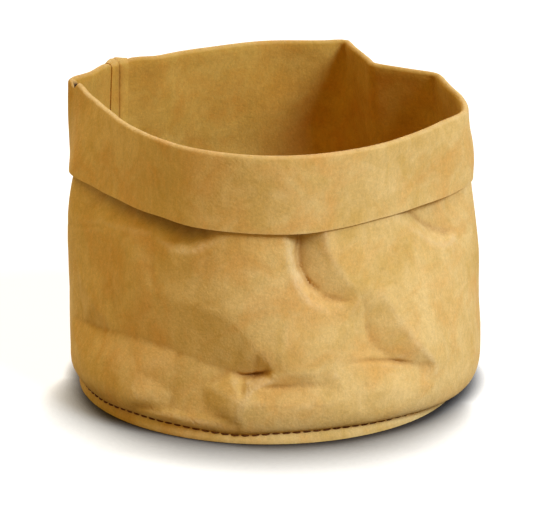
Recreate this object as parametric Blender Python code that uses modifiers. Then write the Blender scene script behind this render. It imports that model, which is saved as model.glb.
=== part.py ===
"""Paper bread basket: a sewn basket of washable kraft paper with a folded-down cuff.

The wall is one sheet, rolled into a tube, sewn along a side seam and turned outward at the top.
The base is a round disc whose rim is turned down inside the wall's lower edge. One line of
lockstitch joins the two just above the floor, and the basket stands on that sewn edge.

Units are metres, +Z is up, +X is to the right and -Y is the front. The origin is on the floor
below the middle of the basket's outline.
"""

import math

import bmesh
import bpy
import numpy as np
from mathutils import Vector
from mathutils.geometry import delaunay_2d_cdt

MM = 0.001

# Paper and thread
PAPER = 0.6 * MM
THREAD = 0.5 * MM
CLEARANCE = 0.3 * MM

# Body
BODY_RADIUS = 100.0 * MM
BODY_HEIGHT = 145.0 * MM
SHOULDER_HEIGHT = 20.0 * MM
BASE_OFFSET = 1.0 * MM

# Sewn foot
STITCH_INSET = 4.8 * MM
STITCH_RADIUS = BODY_RADIUS - STITCH_INSET
FOOT_HEIGHT = 5.2 * MM
FOOT_FLARE = 1.5 * MM
FOOT_EDGE = 1.0 * MM
STITCH_HEIGHT = 4.2 * MM

# Cuff
CUFF_DEPTH = 39.0 * MM
FOLD_RADIUS = 1.6 * MM

# Side seam
SEAM_AZIMUTH = 144.0
SEAM_ALLOWANCE = 6.5 * MM
SEAM_LOOP = 2.05 * MM
LOOP_ROUNDING = 0.1

# Base
FLOOR_RADIUS = 58.0 * MM
BASE_BEND = 1.2 * MM

# Unit of all tables: a hundredth of the body's radius
TABLE_UNIT = BODY_RADIUS / 100

# Outline round the tube: azimuth in degrees from +X towards +Y, then how far the paper stands
# outside (+) or inside (-) the plain tube
RIM_OUTLINE = [
    (-176, -16.0), (-155, -20.0), (-134, -18.0), (-112, -12.0), (-84, -7.5), (-56, -10.5),
    (-40, -11.5), (-22, -8.0), (-8, -0.5), (3, -2.0), (15, -4.2), (27, -1.8), (32, -6.4),
    (38, -11.4), (49, -16.5), (53, -13.0), (59, -7.4), (64, -0.9), (67, 5.4), (72, 0.4),
    (77, -2.2), (88, -5.0), (112, -13.5), (130, -14.5), (144, -3.0), (158, -4.9), (165, -3.7),
    (172, -0.8),
]
UNDER_CUFF_OUTLINE = [
    (-178, -1.5), (-163, -12.0), (-145, -17.5), (-129, -17.0), (-111, -11.0), (-84, -8.5),
    (-52, -11.5), (-32, -11.0), (-18, -3.5), (-5, 3.0), (31, -0.5), (49, -11.5), (67, 3.5),
    (95, -6.5), (128, -10.5), (144, -3.5), (171, -1.3),
]
WAIST_OUTLINE = [
    (-180, 0.2), (-150, -6.5), (-115, -6.5), (-85, -4.5), (-55, -5.0), (-35, -1.0), (-15, 4.5),
    (0, 8.4), (20, 6.5), (45, -1.0), (67, 2.5), (90, -1.5), (115, -4.0), (144, -1.0), (165, 0.0),
]
SHOULDER_OUTLINE = [
    (-180, 0.5), (-150, -0.2), (-120, -1.3), (-88, -1.3), (-60, 1.0), (-35, 5.5), (-15, 8.5),
    (0, 9.4), (20, 7.0), (50, 2.5), (90, 0.5), (130, 0.0), (160, 0.4),
]
# How much higher than BODY_HEIGHT the fold of the cuff stands
RIM_RISE = [
    (-155, 2.0), (-134, 0.5), (-112, 0.0), (-40, 0.0), (-8, 1.2), (24, 3.0), (49, 4.0),
    (67, 7.0), (130, 7.0), (144, 7.4), (158, 7.4), (172, 9.2), (183, 5.0),
]
# How much shorter than CUFF_DEPTH the cuff is
CUFF_RISE = [
    (-172, 0.0), (-150, 0.3), (-128, 0.9), (-100, 0.7), (-80, 0.3), (-66, 0.6), (-50, 1.5),
    (-38, 1.3), (-28, 0.5), (-12, 1.2), (2, 2.4), (20, 1.6), (60, 0.8), (120, 0.2), (172, -1.8),
]
# Distance from the wall to the cuff's lower edge, measured between the middles of the paper
CUFF_GAP = [(-175, 1.6), (-130, 2.0), (-90, 1.7), (-20, 1.3), (20, 1.3), (90, 2.0)]
# How far the bulge above the foot hangs below the stitch line
BULGE_HANG = [
    (-180, 0.4), (-110, 0.0), (-62, 0.0), (-48, 0.5), (-38, 1.5), (-28, 3.0), (-12, 3.4),
    (20, 2.0), (90, 0.8),
]

# Creases of the wall, as paths of azimuth in degrees, height, and how far the paper is pushed in;
# flat facets of paper run from one crease to the next
CREASES = [
    [(-80, 124, 4.0), (-80, 112, 9.6), (-80.5, 105, 9.8), (-81.5, 95, 9.2), (-81, 88, 8.0),
     (-78, 80, 6.4), (-74, 74.5, 4.4), (-69, 71, 2.8), (-64.5, 69.5, 0.8)],
    [(-70, 124, 0.0), (-70, 112, -0.4), (-71, 97, -0.5), (-68.5, 89, -0.9), (-65, 79, -1.0),
     (-61.5, 70, -0.3)],
    [(-84.6, 118, 1.0), (-84.3, 106, 0.4), (-84.2, 96, -0.3), (-83.8, 86, -0.3), (-81, 76, 0.2),
     (-77, 69.5, 0.9), (-70, 65, 1.1)],
    [(-172, 37, 1.0), (-162, 40, 3.0), (-142, 43.5, 5.2), (-130, 44, 6.4), (-120, 42, 6.8),
     (-110, 38.5, 7.0), (-101, 35.0, 7.6), (-97.5, 32.8, 8.6), (-94, 33.6, 8.6), (-91.5, 35.2, 6.4),
     (-89, 37.6, 2.0)],
    [(-89.5, 32.4, 1.6), (-92, 30.6, 1.4), (-95.5, 28.0, 0.2), (-98.5, 21, -1.6), (-101.0, 14, -1.4)],
    [(-119, 38, 6.4), (-119, 31, 5.8), (-119.5, 22, 5.0), (-120, 14, 3.0)],
    [(-93.0, 28.6, 2.0), (-88, 27.6, 2.8), (-80, 27.4, 2.8), (-74, 28.0, 1.8), (-68.5, 29.6, 0.6)],
    [(-56, 73, -0.8), (-52, 67, -1.4), (-48, 54, -2.2), (-43.5, 42, -2.1), (-38, 29.5, -1.2)],
    [(-70, 38.6, 1.0), (-63, 38.8, 2.6), (-57, 37.6, 4.2), (-50, 34.8, 4.4), (-44, 31.8, 2.8),
     (-38.5, 29.4, 0.4)],
    [(-59.4, 68, 1.0), (-59, 61, 2.4), (-58, 54, 3.6), (-57, 46, 4.4)],
    [(-46, 112, 0.4), (-38, 106, 3.0), (-31.5, 100, 4.6), (-27, 93, 5.0), (-22, 88.5, 3.6),
     (-16.5, 87, 1.0)],
    [(-22, 112, 2.6), (-19, 100, 2.0), (-16, 92, 0.6)],
    [(-43, 103, -0.3), (-36, 95, -0.5), (-30, 87, -0.5), (-23, 83.5, -0.3)],
    [(-178, 112, 1.2), (-160, 111, 5.0), (-145, 110, 6.8), (-131, 108.5, 8.0), (-119.5, 105, 10.0),
     (-113, 105.5, 8.0), (-105, 107, 1.6)],
    [(-172, 86, -0.8), (-157, 92.5, -0.9), (-141, 96.0, -0.9), (-131, 97.6, 0.6), (-122, 92.5, -0.8),
     (-114, 94, -0.8), (-106.5, 100, -0.2)],
]
# Corners of facets that lie on no long crease
FACET_CORNERS = [
    (-98, 108, 0.0), (-94, 96, -0.4), (-92, 84, -0.4), (-90, 74, -0.2), (-86, 62, 0.3),
    (-77, 58, 0.9), (-69, 58, 0.8), (-185, 58, 0.0), (-168, 66, -0.2), (-148, 72, 0.6),
    (-128, 70, 1.0), (-113, 68, 0.6), (-101, 64, -0.8), (-96, 56, 0.4), (-87, 48, 0.3),
    (-80, 49, 0.0), (-72, 48, 0.4), (-66, 54, 0.8), (-160, 26, -0.6), (-144, 31, 0.4),
    (-131, 30, 2.0), (-145, 17, -2.0), (-131, 16, -1.7), (-109, 18, 1.4), (-109, 28, 3.6),
    (-89, 21, 0.2), (-80, 20, -0.6), (-72, 20, -0.8), (-84, 36.5, 0.4), (-77, 36, 0.2),
    (-70, 34.5, 0.2), (-90, 43, 1.4), (-92.5, 48, 1.2), (-62, 71, 0.0), (-65.5, 60, 0.8),
    (-66.5, 47, 1.2), (-68, 25, -0.2), (-58, 24, -0.8), (-48, 21, -1.0), (-38, 20, -1.0),
    (-28, 34, -0.2), (-32, 56, -0.3), (-38, 76, -0.2), (-24, 70, 0.1), (-52, 88, 0.0),
    (-54, 104, 0.0), (-62, 96, -0.1), (-10, 100, 0.2), (-8, 84, 0.0),
]
# Band of the wall that the creases lie in; azimuths of the corners along its smooth edges
CREASED_LOW = 9.0
CREASED_HIGH = 141.0
CREASED_LEFT = -200.0
CREASED_RIGHT = 10.0
EDGE_CORNERS = 9

# Shares that round the bulge above the foot: how far out it runs before it turns up, and how soon
BULGE_REACH = [(-180, 0.5), (-166, 0.15), (-152, 0.2), (-136, 0.6), (-110, 0.75), (90, 0.75)]
BULGE_TURN = 0.25

# Fineness of the sheets
CREASED_STEP = 2.8
PLAIN_STEP = 8.0
CREASED_START = 186.0
CREASED_END = 354.0
NORMAL_STEP = 4.0
BULGE_ROWS = 4
WALL_ROWS = 12
COVERED_ROWS = 3
FOLD_ROWS = 4
CUFF_ROWS = 3
BASE_COLUMNS = 64
THREAD_POINTS = 72


# Heights that follow from the driving dimensions
CUFF_EDGE_HEIGHT = BODY_HEIGHT - CUFF_DEPTH
WAIST_HEIGHT = (SHOULDER_HEIGHT + CUFF_EDGE_HEIGHT) / 2
NESTING = PAPER + CLEARANCE


def spread_slopes(places, values):
    """Slopes of a smooth curve that never overshoots its points."""
    steps = np.diff(places)
    rises = np.diff(values) / steps
    slopes = np.zeros_like(values)
    before, after = rises[:-1], rises[1:]
    same_way = before * after > 0
    weight_before = 2 * steps[1:] + steps[:-1]
    weight_after = steps[1:] + 2 * steps[:-1]
    safe_before = np.where(same_way, before, 1)
    safe_after = np.where(same_way, after, 1)
    blend = (weight_before + weight_after) / (weight_before / safe_before + weight_after / safe_after)
    slopes[1:-1] = np.where(same_way, blend, 0)
    return slopes


def around(outline, azimuth):
    """Reads a table at any azimuth, in metres, as one closed smooth curve."""
    return TABLE_UNIT * share_around(outline, azimuth)


def share_around(outline, azimuth):
    """Reads a table of plain numbers at any azimuth, as one closed smooth curve."""
    points = np.array(sorted(outline), float)
    wrap = 3
    places = np.concatenate([points[-wrap:, 0] - 360, points[:, 0], points[:wrap, 0] + 360])
    values = np.concatenate([points[-wrap:, 1], points[:, 1], points[:wrap, 1]])
    slopes = spread_slopes(places, values)
    turned = (np.asarray(azimuth, float) + 180) % 360 - 180
    index = np.clip(np.searchsorted(places, turned, side="right") - 1, 0, len(places) - 2)
    step = places[index + 1] - places[index]
    share = (turned - places[index]) / step
    return hermite(share, values[index], values[index + 1], slopes[index] * step, slopes[index + 1] * step)


def hermite(share, start, end, start_slope, end_slope):
    """A cubic from start to end with the given slopes."""
    square, cube = share ** 2, share ** 3
    return ((2 * cube - 3 * square + 1) * start + (cube - 2 * square + share) * start_slope
            + (3 * square - 2 * cube) * end + (cube - square) * end_slope)


def fold_top(azimuth):
    """Height of the middle of the paper at the top of the fold."""
    return BODY_HEIGHT + around(RIM_RISE, azimuth) - PAPER / 2


def run_top(azimuth):
    """Height at which the wall stops and the fold starts."""
    return fold_top(azimuth) - FOLD_RADIUS


def foot_radius(azimuth, height):
    """Distance from the body's axis to the middle of the wall's paper in the sewn foot."""
    share = np.clip((FOOT_HEIGHT - height) / (FOOT_HEIGHT - FOOT_EDGE), 0, 1)
    radius = STITCH_RADIUS + FOOT_FLARE * share
    turn = np.radians(azimuth)
    return BASE_OFFSET * np.cos(turn) + np.sqrt(radius ** 2 - (BASE_OFFSET * np.sin(turn)) ** 2)


def body_radius(azimuth, height):
    """Distance from the axis to the undented wall, from the shoulder up to the fold."""
    heights = [SHOULDER_HEIGHT, WAIST_HEIGHT, CUFF_EDGE_HEIGHT, run_top(azimuth)]
    outlines = [SHOULDER_OUTLINE, WAIST_OUTLINE, UNDER_CUFF_OUTLINE, RIM_OUTLINE]
    radii = [BODY_RADIUS + around(outline, azimuth) for outline in outlines]
    radii[3] = radii[3] - FOLD_RADIUS
    rises = [(radii[i + 1] - radii[i]) / (heights[i + 1] - heights[i]) for i in range(3)]
    slopes = [0 * rises[0], (rises[0] + rises[1]) / 2, (rises[1] + rises[2]) / 2, rises[2]]
    radius = radii[0] + 0 * height
    for i in range(3):
        step = heights[i + 1] - heights[i]
        share = np.clip((height - heights[i]) / step, 0, 1)
        piece = hermite(share, radii[i], radii[i + 1], slopes[i] * step, slopes[i + 1] * step)
        radius = np.where(height >= heights[i], piece, radius)
    return radius


def unrolled(azimuth, height):
    """Place on the unrolled wall, in table units, of an azimuth and a height in table units."""
    return (math.radians(azimuth) * 100, height)


def facet_triangles():
    """Triangles of flat paper between the creases, as three places and the push at each."""
    corners, pushes, folds = [], [], []
    for path in CREASES:
        first = len(corners)
        folds += [(first + i, first + i + 1) for i in range(len(path) - 1)]
        corners += [unrolled(azimuth, height) for azimuth, height, _ in path]
        pushes += [push for _, _, push in path]
    corners += [unrolled(azimuth, height) for azimuth, height, _ in FACET_CORNERS]
    pushes += [push for _, _, push in FACET_CORNERS]
    for i in range(EDGE_CORNERS + 1):
        share = i / EDGE_CORNERS
        azimuth = CREASED_LEFT + share * (CREASED_RIGHT - CREASED_LEFT)
        height = CREASED_LOW + share * (CREASED_HIGH - CREASED_LOW)
        corners += [unrolled(azimuth, CREASED_LOW), unrolled(azimuth, CREASED_HIGH)]
        pushes += [0.0, 0.0]
        if 0 < i < EDGE_CORNERS:
            corners += [unrolled(CREASED_LEFT, height), unrolled(CREASED_RIGHT, height)]
            pushes += [0.0, 0.0]
    flat_corners = [Vector(corner) for corner in corners]
    places, _, faces, sources, _, _ = delaunay_2d_cdt(flat_corners, folds, [], 0, 1e-4)
    values = [float(np.mean([pushes[k] for k in source])) for source in sources]
    return [([places[k] for k in face], [values[k] for k in face]) for face in faces]


def crease_push(azimuth, height):
    """How far the creases push the wall inward."""
    from_seam = (azimuth - SEAM_AZIMUTH) % 360 + SEAM_AZIMUTH - 360
    across, up = unrolled(1.0, 0.0)[0] * from_seam, height / TABLE_UNIT
    total = np.zeros(np.broadcast(across, up).shape)
    for ((x0, y0), (x1, y1), (x2, y2)), (v0, v1, v2) in facet_triangles():
        area = (x1 - x0) * (y2 - y0) - (x2 - x0) * (y1 - y0)
        second = ((across - x0) * (y2 - y0) - (x2 - x0) * (up - y0)) / area
        third = ((x1 - x0) * (up - y0) - (across - x0) * (y1 - y0)) / area
        inside = (second >= 0) & (third >= 0) & (second + third <= 1)
        total = np.where(inside, v0 + second * (v1 - v0) + third * (v2 - v0), total)
    return TABLE_UNIT * total


def polar(azimuth, radius, height):
    """A point from its azimuth, distance from the axis and height."""
    turn = np.radians(azimuth)
    return np.stack([radius * np.cos(turn), radius * np.sin(turn), height + 0 * radius], -1)


def body_point(azimuth, height):
    """A point of the undented wall."""
    return polar(azimuth, body_radius(azimuth, height), height)


def outward(azimuth, height):
    """The level direction that points out of the wall."""
    chord = body_point(azimuth + NORMAL_STEP, height) - body_point(azimuth - NORMAL_STEP, height)
    normal = np.stack([chord[..., 1], -chord[..., 0], 0 * chord[..., 0]], -1)
    return normal / np.linalg.norm(normal, axis=-1, keepdims=True)


def section_normal(azimuth, radius_step, height_step):
    """The direction out of the paper where its section runs by the given steps."""
    length = np.hypot(radius_step, height_step)
    return polar(azimuth, height_step / length, -radius_step / length)


def foot_rows(azimuth):
    """Rows of the sewn foot, from the floor to the stitch line."""
    rows = []
    for height in (0.0, FOOT_EDGE, STITCH_HEIGHT, FOOT_HEIGHT):
        level = height + 0 * azimuth
        turn_out = 1.0 if height == FOOT_HEIGHT else 0.0
        normal = section_normal(azimuth, turn_out + 0 * azimuth, 1.0)
        rows.append((polar(azimuth, foot_radius(azimuth, level), level), normal))
    return rows


def bulge_rows(azimuth):
    """Rows of the bulge that swings out over the foot, up to the shoulder."""
    start = foot_radius(azimuth, FOOT_HEIGHT)
    end = body_radius(azimuth, SHOULDER_HEIGHT + 0 * azimuth)
    hang = around(BULGE_HANG, azimuth)
    radii = [start, start + share_around(BULGE_REACH, azimuth) * (end - start), end, end]
    lowest = FOOT_HEIGHT - hang
    turn_up = lowest + BULGE_TURN * (SHOULDER_HEIGHT - FOOT_HEIGHT)
    heights = [FOOT_HEIGHT, lowest, turn_up, SHOULDER_HEIGHT]
    rows = []
    for step in range(1, BULGE_ROWS + 1):
        share = step / BULGE_ROWS
        weights = [(1 - share) ** 3, 3 * share * (1 - share) ** 2, 3 * share ** 2 * (1 - share), share ** 3]
        slopes = [(1 - share) ** 2, 2 * share * (1 - share), share ** 2]
        radius = sum(weight * value for weight, value in zip(weights, radii))
        height = sum(weight * value for weight, value in zip(weights, heights)) + 0 * azimuth
        radius_step = sum(slopes[i] * (radii[i + 1] - radii[i]) for i in range(3))
        height_step = sum(slopes[i] * (heights[i + 1] - heights[i]) for i in range(3))
        dented = radius - share * crease_push(azimuth, height)
        rows.append((polar(azimuth, dented, height), section_normal(azimuth, radius_step, height_step)))
    return rows


def wall_rows(azimuth):
    """Rows of the wall from above the shoulder to the start of the fold."""
    rows = []
    seen = (CUFF_EDGE_HEIGHT - SHOULDER_HEIGHT) / (BODY_HEIGHT - SHOULDER_HEIGHT)
    shares = [seen * step / WALL_ROWS for step in range(1, WALL_ROWS + 1)]
    shares += [seen + (1 - seen) * step / COVERED_ROWS for step in range(1, COVERED_ROWS + 1)]
    for share in shares:
        height = SHOULDER_HEIGHT + share * (run_top(azimuth) - SHOULDER_HEIGHT)
        normal = outward(azimuth, height)
        point = body_point(azimuth, height) - normal * crease_push(azimuth, height)[..., None]
        rows.append((point, normal))
    return rows


def cuff_rows(azimuth):
    """Rows of the rounded fold and of the cuff that hangs outside the wall."""
    top = run_top(azimuth)
    normal = outward(azimuth, top)
    upright = np.array([0.0, 0.0, 1.0])
    start = body_point(azimuth, top)
    rows = []
    for step in range(1, FOLD_ROWS):
        turn = math.pi * step / FOLD_ROWS
        offset = normal * (1 - math.cos(turn)) + upright * math.sin(turn)
        rows.append((start + FOLD_RADIUS * offset, normal * math.cos(turn) - upright * math.sin(turn)))
    edge_gap = around(CUFF_GAP, azimuth)
    length = CUFF_DEPTH - FOLD_RADIUS - PAPER / 2 - around(CUFF_RISE, azimuth)
    for step in range(CUFF_ROWS + 1):
        share = step / CUFF_ROWS
        height = top - share * length
        normal = outward(azimuth, height)
        gap = 2 * FOLD_RADIUS + share * (edge_gap - 2 * FOLD_RADIUS)
        rows.append((body_point(azimuth, height) + normal * gap[..., None], -normal))
    return rows


def sheet_rows(azimuth):
    """All rows of the wall's sheet with the direction that points away from its inner face."""
    return foot_rows(azimuth) + bulge_rows(azimuth) + wall_rows(azimuth) + cuff_rows(azimuth)


def seam_section():
    """Section of one turned-in edge: distance from the seam and distance from the wall."""
    half_gap = NESTING / 2
    loop_end = 2 * NESTING
    halfway = ((SEAM_ALLOWANCE + loop_end) / 2, (NESTING + SEAM_LOOP) / 2)
    rounding = LOOP_ROUNDING * SEAM_LOOP
    return [
        (SEAM_ALLOWANCE, NESTING), halfway, (loop_end, SEAM_LOOP), (NESTING, SEAM_LOOP - rounding),
        (half_gap, SEAM_LOOP / 2), (NESTING, rounding), (loop_end, 0.0),
    ]


def wall_columns():
    """Azimuth and inward offset of each column of the sheet, from one cut edge to the other."""
    per_metre = 180 / math.pi / BODY_RADIUS
    first = [(SEAM_AZIMUTH + along * per_metre, offset) for along, offset in seam_section()]
    last = [(SEAM_AZIMUTH + 360 - along * per_metre, offset) for along, offset in reversed(seam_section())]
    stops = (first[-1][0], CREASED_START, CREASED_END, last[0][0])
    middle = []
    for start, end, step in zip(stops, stops[1:], (PLAIN_STEP, CREASED_STEP, PLAIN_STEP)):
        count = math.ceil((end - start) / step)
        middle += [(start + (end - start) * i / count, 0.0) for i in range(1, count + 1)]
    return first + middle[:-1] + last


def grid_object(name, rows, closed, capped):
    """A named sheet of quads through rows of points, facing outward."""
    mesh = bpy.data.meshes.new(name)
    sheet = bmesh.new()
    grid = [[sheet.verts.new(Vector(point)) for point in row] for row in rows]
    width = len(rows[0])
    for lower, upper in zip(grid, grid[1:]):
        for i in range(width if closed else width - 1):
            j = (i + 1) % width
            sheet.faces.new((lower[i], lower[j], upper[j], upper[i]))
    if capped:
        sheet.faces.new(grid[-1])
    sheet.to_mesh(mesh)
    sheet.free()
    item = bpy.data.objects.new(name, mesh)
    mesh.shade_smooth()
    return item


def give_thickness(item):
    """Turns a sheet into paper, with the sheet as the middle of its thickness."""
    shell = item.modifiers.new("paper thickness", "SOLIDIFY")
    shell.thickness = PAPER
    shell.offset = 0.0


def make_wall():
    """The wall: one sheet from the floor up, over the fold and down to the cuff's edge."""
    columns = wall_columns()
    azimuth = np.array([column[0] for column in columns])
    offset = np.array([column[1] for column in columns])[:, None]
    rows = [point - normal * offset for point, normal in sheet_rows(azimuth)]
    wall = grid_object("wall", rows, closed=False, capped=False)
    give_thickness(wall)
    return wall


def seam_step(azimuth):
    """Share of the inward step that the base takes round the turned-in seam edges."""
    away = np.abs((azimuth - SEAM_AZIMUTH + 180) % 360 - 180)
    flat = math.degrees((SEAM_ALLOWANCE + NESTING) / BODY_RADIUS)
    return np.clip(2 - away / flat, 0, 1)


def base_rim_radius(azimuth, height):
    """Distance from the axis to the middle of the base's turned-down rim."""
    return foot_radius(azimuth, height) - NESTING - seam_step(azimuth) * SEAM_LOOP


def make_base():
    """The base: a disc that lies on the floor, rises to the stitch line and turns down."""
    azimuth = np.arange(BASE_COLUMNS) * 360 / BASE_COLUMNS
    top = FOOT_HEIGHT
    rim = base_rim_radius(azimuth, top + 0 * azimuth)
    rows = []
    for height in (CLEARANCE, FOOT_EDGE, top - BASE_BEND):
        level = height + 0 * azimuth
        rows.append(polar(azimuth, base_rim_radius(azimuth, level), level))
    for turn in (math.pi / 4, math.pi / 2):
        radius = rim - BASE_BEND * (1 - math.cos(turn))
        rows.append(polar(azimuth, radius, top - BASE_BEND * (1 - math.sin(turn))))
    slope_radius = (STITCH_RADIUS + FLOOR_RADIUS) / 2
    rows.append(polar(azimuth, slope_radius + 0 * azimuth, (top + PAPER / 2) / 2))
    rows.append(polar(azimuth, FLOOR_RADIUS + 0 * azimuth, PAPER / 2))
    base = grid_object("base", rows, closed=True, capped=True)
    give_thickness(base)
    return base


def thread_object(name, points, closed):
    """A thread along the given points."""
    curve = bpy.data.curves.new(name, "CURVE")
    curve.dimensions = "3D"
    curve.bevel_depth = THREAD / 2
    curve.bevel_resolution = 0
    curve.use_fill_caps = True
    spline = curve.splines.new("POLY")
    spline.points.add(len(points) - 1)
    for slot, point in zip(spline.points, points):
        slot.co = (*point, 1.0)
    spline.use_cyclic_u = closed
    return bpy.data.objects.new(name, curve)


def make_base_seam_threads():
    """The needle thread outside the foot and the bobbin thread inside the base's rim."""
    azimuth = np.arange(THREAD_POINTS) * 360 / THREAD_POINTS
    level = STITCH_HEIGHT + 0 * azimuth
    seat = PAPER / 2 + CLEARANCE + THREAD / 2
    needle = polar(azimuth, foot_radius(azimuth, level) + seat, level)
    low = level - BASE_BEND
    bobbin = polar(azimuth, base_rim_radius(azimuth, low) - seat, low)
    return [thread_object("base_seam_needle_thread", needle, True),
            thread_object("base_seam_bobbin_thread", bobbin, True)]


def make_side_seam_threads():
    """The two threads that lie inside the turned-in edges of the side seam."""
    turn = math.degrees(1.5 * NESTING / BODY_RADIUS)
    threads = []
    for name, side in (("side_seam_needle_thread", 1), ("side_seam_bobbin_thread", -1)):
        azimuth = np.array([SEAM_AZIMUTH + side * turn])
        rows = sheet_rows(azimuth)
        points = [(point - normal * SEAM_LOOP / 2)[0] for point, normal in rows[1:-1]]
        threads.append(thread_object(name, points, False))
    return threads


def make_material(name, colour, roughness):
    """A plain Principled finish."""
    material = bpy.data.materials.new(name)
    material.use_nodes = True
    shader = material.node_tree.nodes["Principled BSDF"]
    shader.inputs["Base Color"].default_value = (*colour, 1.0)
    shader.inputs["Roughness"].default_value = roughness
    shader.inputs["Metallic"].default_value = 0.0
    material.diffuse_color = (*colour, 1.0)
    return material


def clear_scene():
    """Removes every object that the scene starts with."""
    for item in list(bpy.data.objects):
        bpy.data.objects.remove(item, do_unlink=True)


def main():
    """Builds the basket in its own collection."""
    clear_scene()
    basket = bpy.data.collections.new("paper_bread_basket")
    bpy.context.scene.collection.children.link(basket)
    finishes = {
        "wall": ("kraft paper wall", (0.62, 0.39, 0.13), 0.75),
        "base": ("kraft paper base", (0.58, 0.36, 0.12), 0.78),
    }
    thread_finish = ("waxed thread", (0.07, 0.02, 0.01), 0.6)
    for item in [make_wall(), make_base(), *make_base_seam_threads(), *make_side_seam_threads()]:
        basket.objects.link(item)
        item.data.materials.append(make_material(*finishes.get(item.name, thread_finish)))


main()
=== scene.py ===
"""Looks of the paper bread basket: creased washable kraft paper, folded down and lockstitched.

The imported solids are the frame. Each of them is replaced here by a finer piece with the same
construction: the wall's one sheet with its cuff and side seam, the base disc with its turned-down
rim, and the stitches that hold them. Sizes are in millimetres until a mesh is written.
"""
from __future__ import annotations

import logging
import math
from dataclasses import dataclass, field
from enum import Enum

import bmesh
import bpy
import numpy as np
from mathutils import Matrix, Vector
from mathutils.geometry import delaunay_2d_cdt


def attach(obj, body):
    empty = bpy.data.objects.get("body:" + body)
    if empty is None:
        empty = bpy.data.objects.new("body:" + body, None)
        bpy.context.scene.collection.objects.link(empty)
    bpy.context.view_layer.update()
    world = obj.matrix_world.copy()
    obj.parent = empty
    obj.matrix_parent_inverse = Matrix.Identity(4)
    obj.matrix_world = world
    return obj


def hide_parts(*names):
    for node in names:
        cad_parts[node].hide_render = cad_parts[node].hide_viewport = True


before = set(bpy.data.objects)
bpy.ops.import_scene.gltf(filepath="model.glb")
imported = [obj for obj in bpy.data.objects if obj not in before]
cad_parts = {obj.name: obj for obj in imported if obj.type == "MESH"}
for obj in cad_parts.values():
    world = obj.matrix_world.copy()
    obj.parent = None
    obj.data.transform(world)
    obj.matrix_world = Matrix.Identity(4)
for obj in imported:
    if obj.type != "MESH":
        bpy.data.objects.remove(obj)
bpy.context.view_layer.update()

MM = 0.001
LOG = logging.getLogger("bread_basket")
RiseTable = tuple[tuple[float, float], ...]
CreasePath = tuple[tuple[float, float, float], ...]
Row = tuple[np.ndarray, ...]
Span = tuple[float, float]
Direction = tuple[float, float, float]
Colour = tuple[float, float, float, float]


def smooth_slopes(places: np.ndarray, values: np.ndarray) -> np.ndarray:
    """Finds the slopes of a curve that never overshoots its points.

    Args:
        places: Rising positions of the points.
        values: Value at each point.

    Returns:
        The slope at each point, zero at both ends.
    """
    steps = np.diff(places)
    rises = np.diff(values) / steps
    before, after = rises[:-1], rises[1:]
    same_way = before * after > 0
    weight_before = 2 * steps[1:] + steps[:-1]
    weight_after = steps[1:] + 2 * steps[:-1]
    total = (weight_before / np.where(same_way, before, 1)
             + weight_after / np.where(same_way, after, 1))
    slopes = np.zeros_like(values)
    slopes[1:-1] = np.where(same_way, (weight_before + weight_after) / total, 0)
    return slopes


def hermite(share: np.ndarray, start: np.ndarray, end: np.ndarray,
            start_slope: np.ndarray, end_slope: np.ndarray) -> np.ndarray:
    """Follows a cubic.

    Args:
        share: How far along it, from 0 to 1.
        start: Value at its start.
        end: Value at its end.
        start_slope: Slope at its start.
        end_slope: Slope at its end.

    Returns:
        The value there.
    """
    square, cube = share ** 2, share ** 3
    return ((2 * cube - 3 * square + 1) * start + (cube - 2 * square + share) * start_slope
            + (3 * square - 2 * cube) * end + (cube - square) * end_slope)


def polar(azimuth: np.ndarray, radius: np.ndarray, height: np.ndarray) -> np.ndarray:
    """Returns points from azimuth in degrees, distance from the axis and height."""
    turn = np.radians(azimuth)
    return np.stack([radius * np.cos(turn), radius * np.sin(turn), height + 0 * radius], -1)


def unit(vectors: np.ndarray) -> np.ndarray:
    """Returns the vectors at length one."""
    return vectors / np.linalg.norm(vectors, axis=-1, keepdims=True)


def turn_away(azimuth: np.ndarray, line: float) -> np.ndarray:
    """Returns how many degrees each azimuth lies from an upright line."""
    return np.abs((np.asarray(azimuth, float) - line + 180) % 360 - 180)


@dataclass(frozen=True)
class Outline:
    """A closed smooth curve of one value round the tube.

    Attributes:
        points: Azimuth in degrees and value in millimetres.
    """

    points: RiseTable

    def at(self, azimuth: np.ndarray) -> np.ndarray:
        """Reads the curve.

        Args:
            azimuth: Azimuths in degrees.

        Returns:
            The value at each azimuth.
        """
        table = np.array(sorted(self.points), float)
        wrap = 3
        places = np.concatenate([table[-wrap:, 0] - 360, table[:, 0], table[:wrap, 0] + 360])
        values = np.concatenate([table[-wrap:, 1], table[:, 1], table[:wrap, 1]])
        slopes = smooth_slopes(places, values)
        turned = (np.asarray(azimuth, float) + 180) % 360 - 180
        index = np.clip(np.searchsorted(places, turned, side="right") - 1, 0, len(places) - 2)
        step = places[index + 1] - places[index]
        share = (turned - places[index]) / step
        return hermite(share, values[index], values[index + 1],
                       slopes[index] * step, slopes[index + 1] * step)


@dataclass(frozen=True)
class RimCorner:
    """An upright fold line at the rim, where the tube turns a sharp corner.

    Attributes:
        azimuth: Where it stands, in degrees.
        reach: How far it stands out at the rim, in millimetres.
        width: How far it is felt to each side, in degrees.
    """

    azimuth: float
    reach: float
    width: float

    def at(self, azimuth: np.ndarray) -> np.ndarray:
        """Returns the share of the corner at each azimuth, 1 on its line."""
        return np.clip(1 - turn_away(azimuth, self.azimuth) / self.width, 0, 1)


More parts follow.
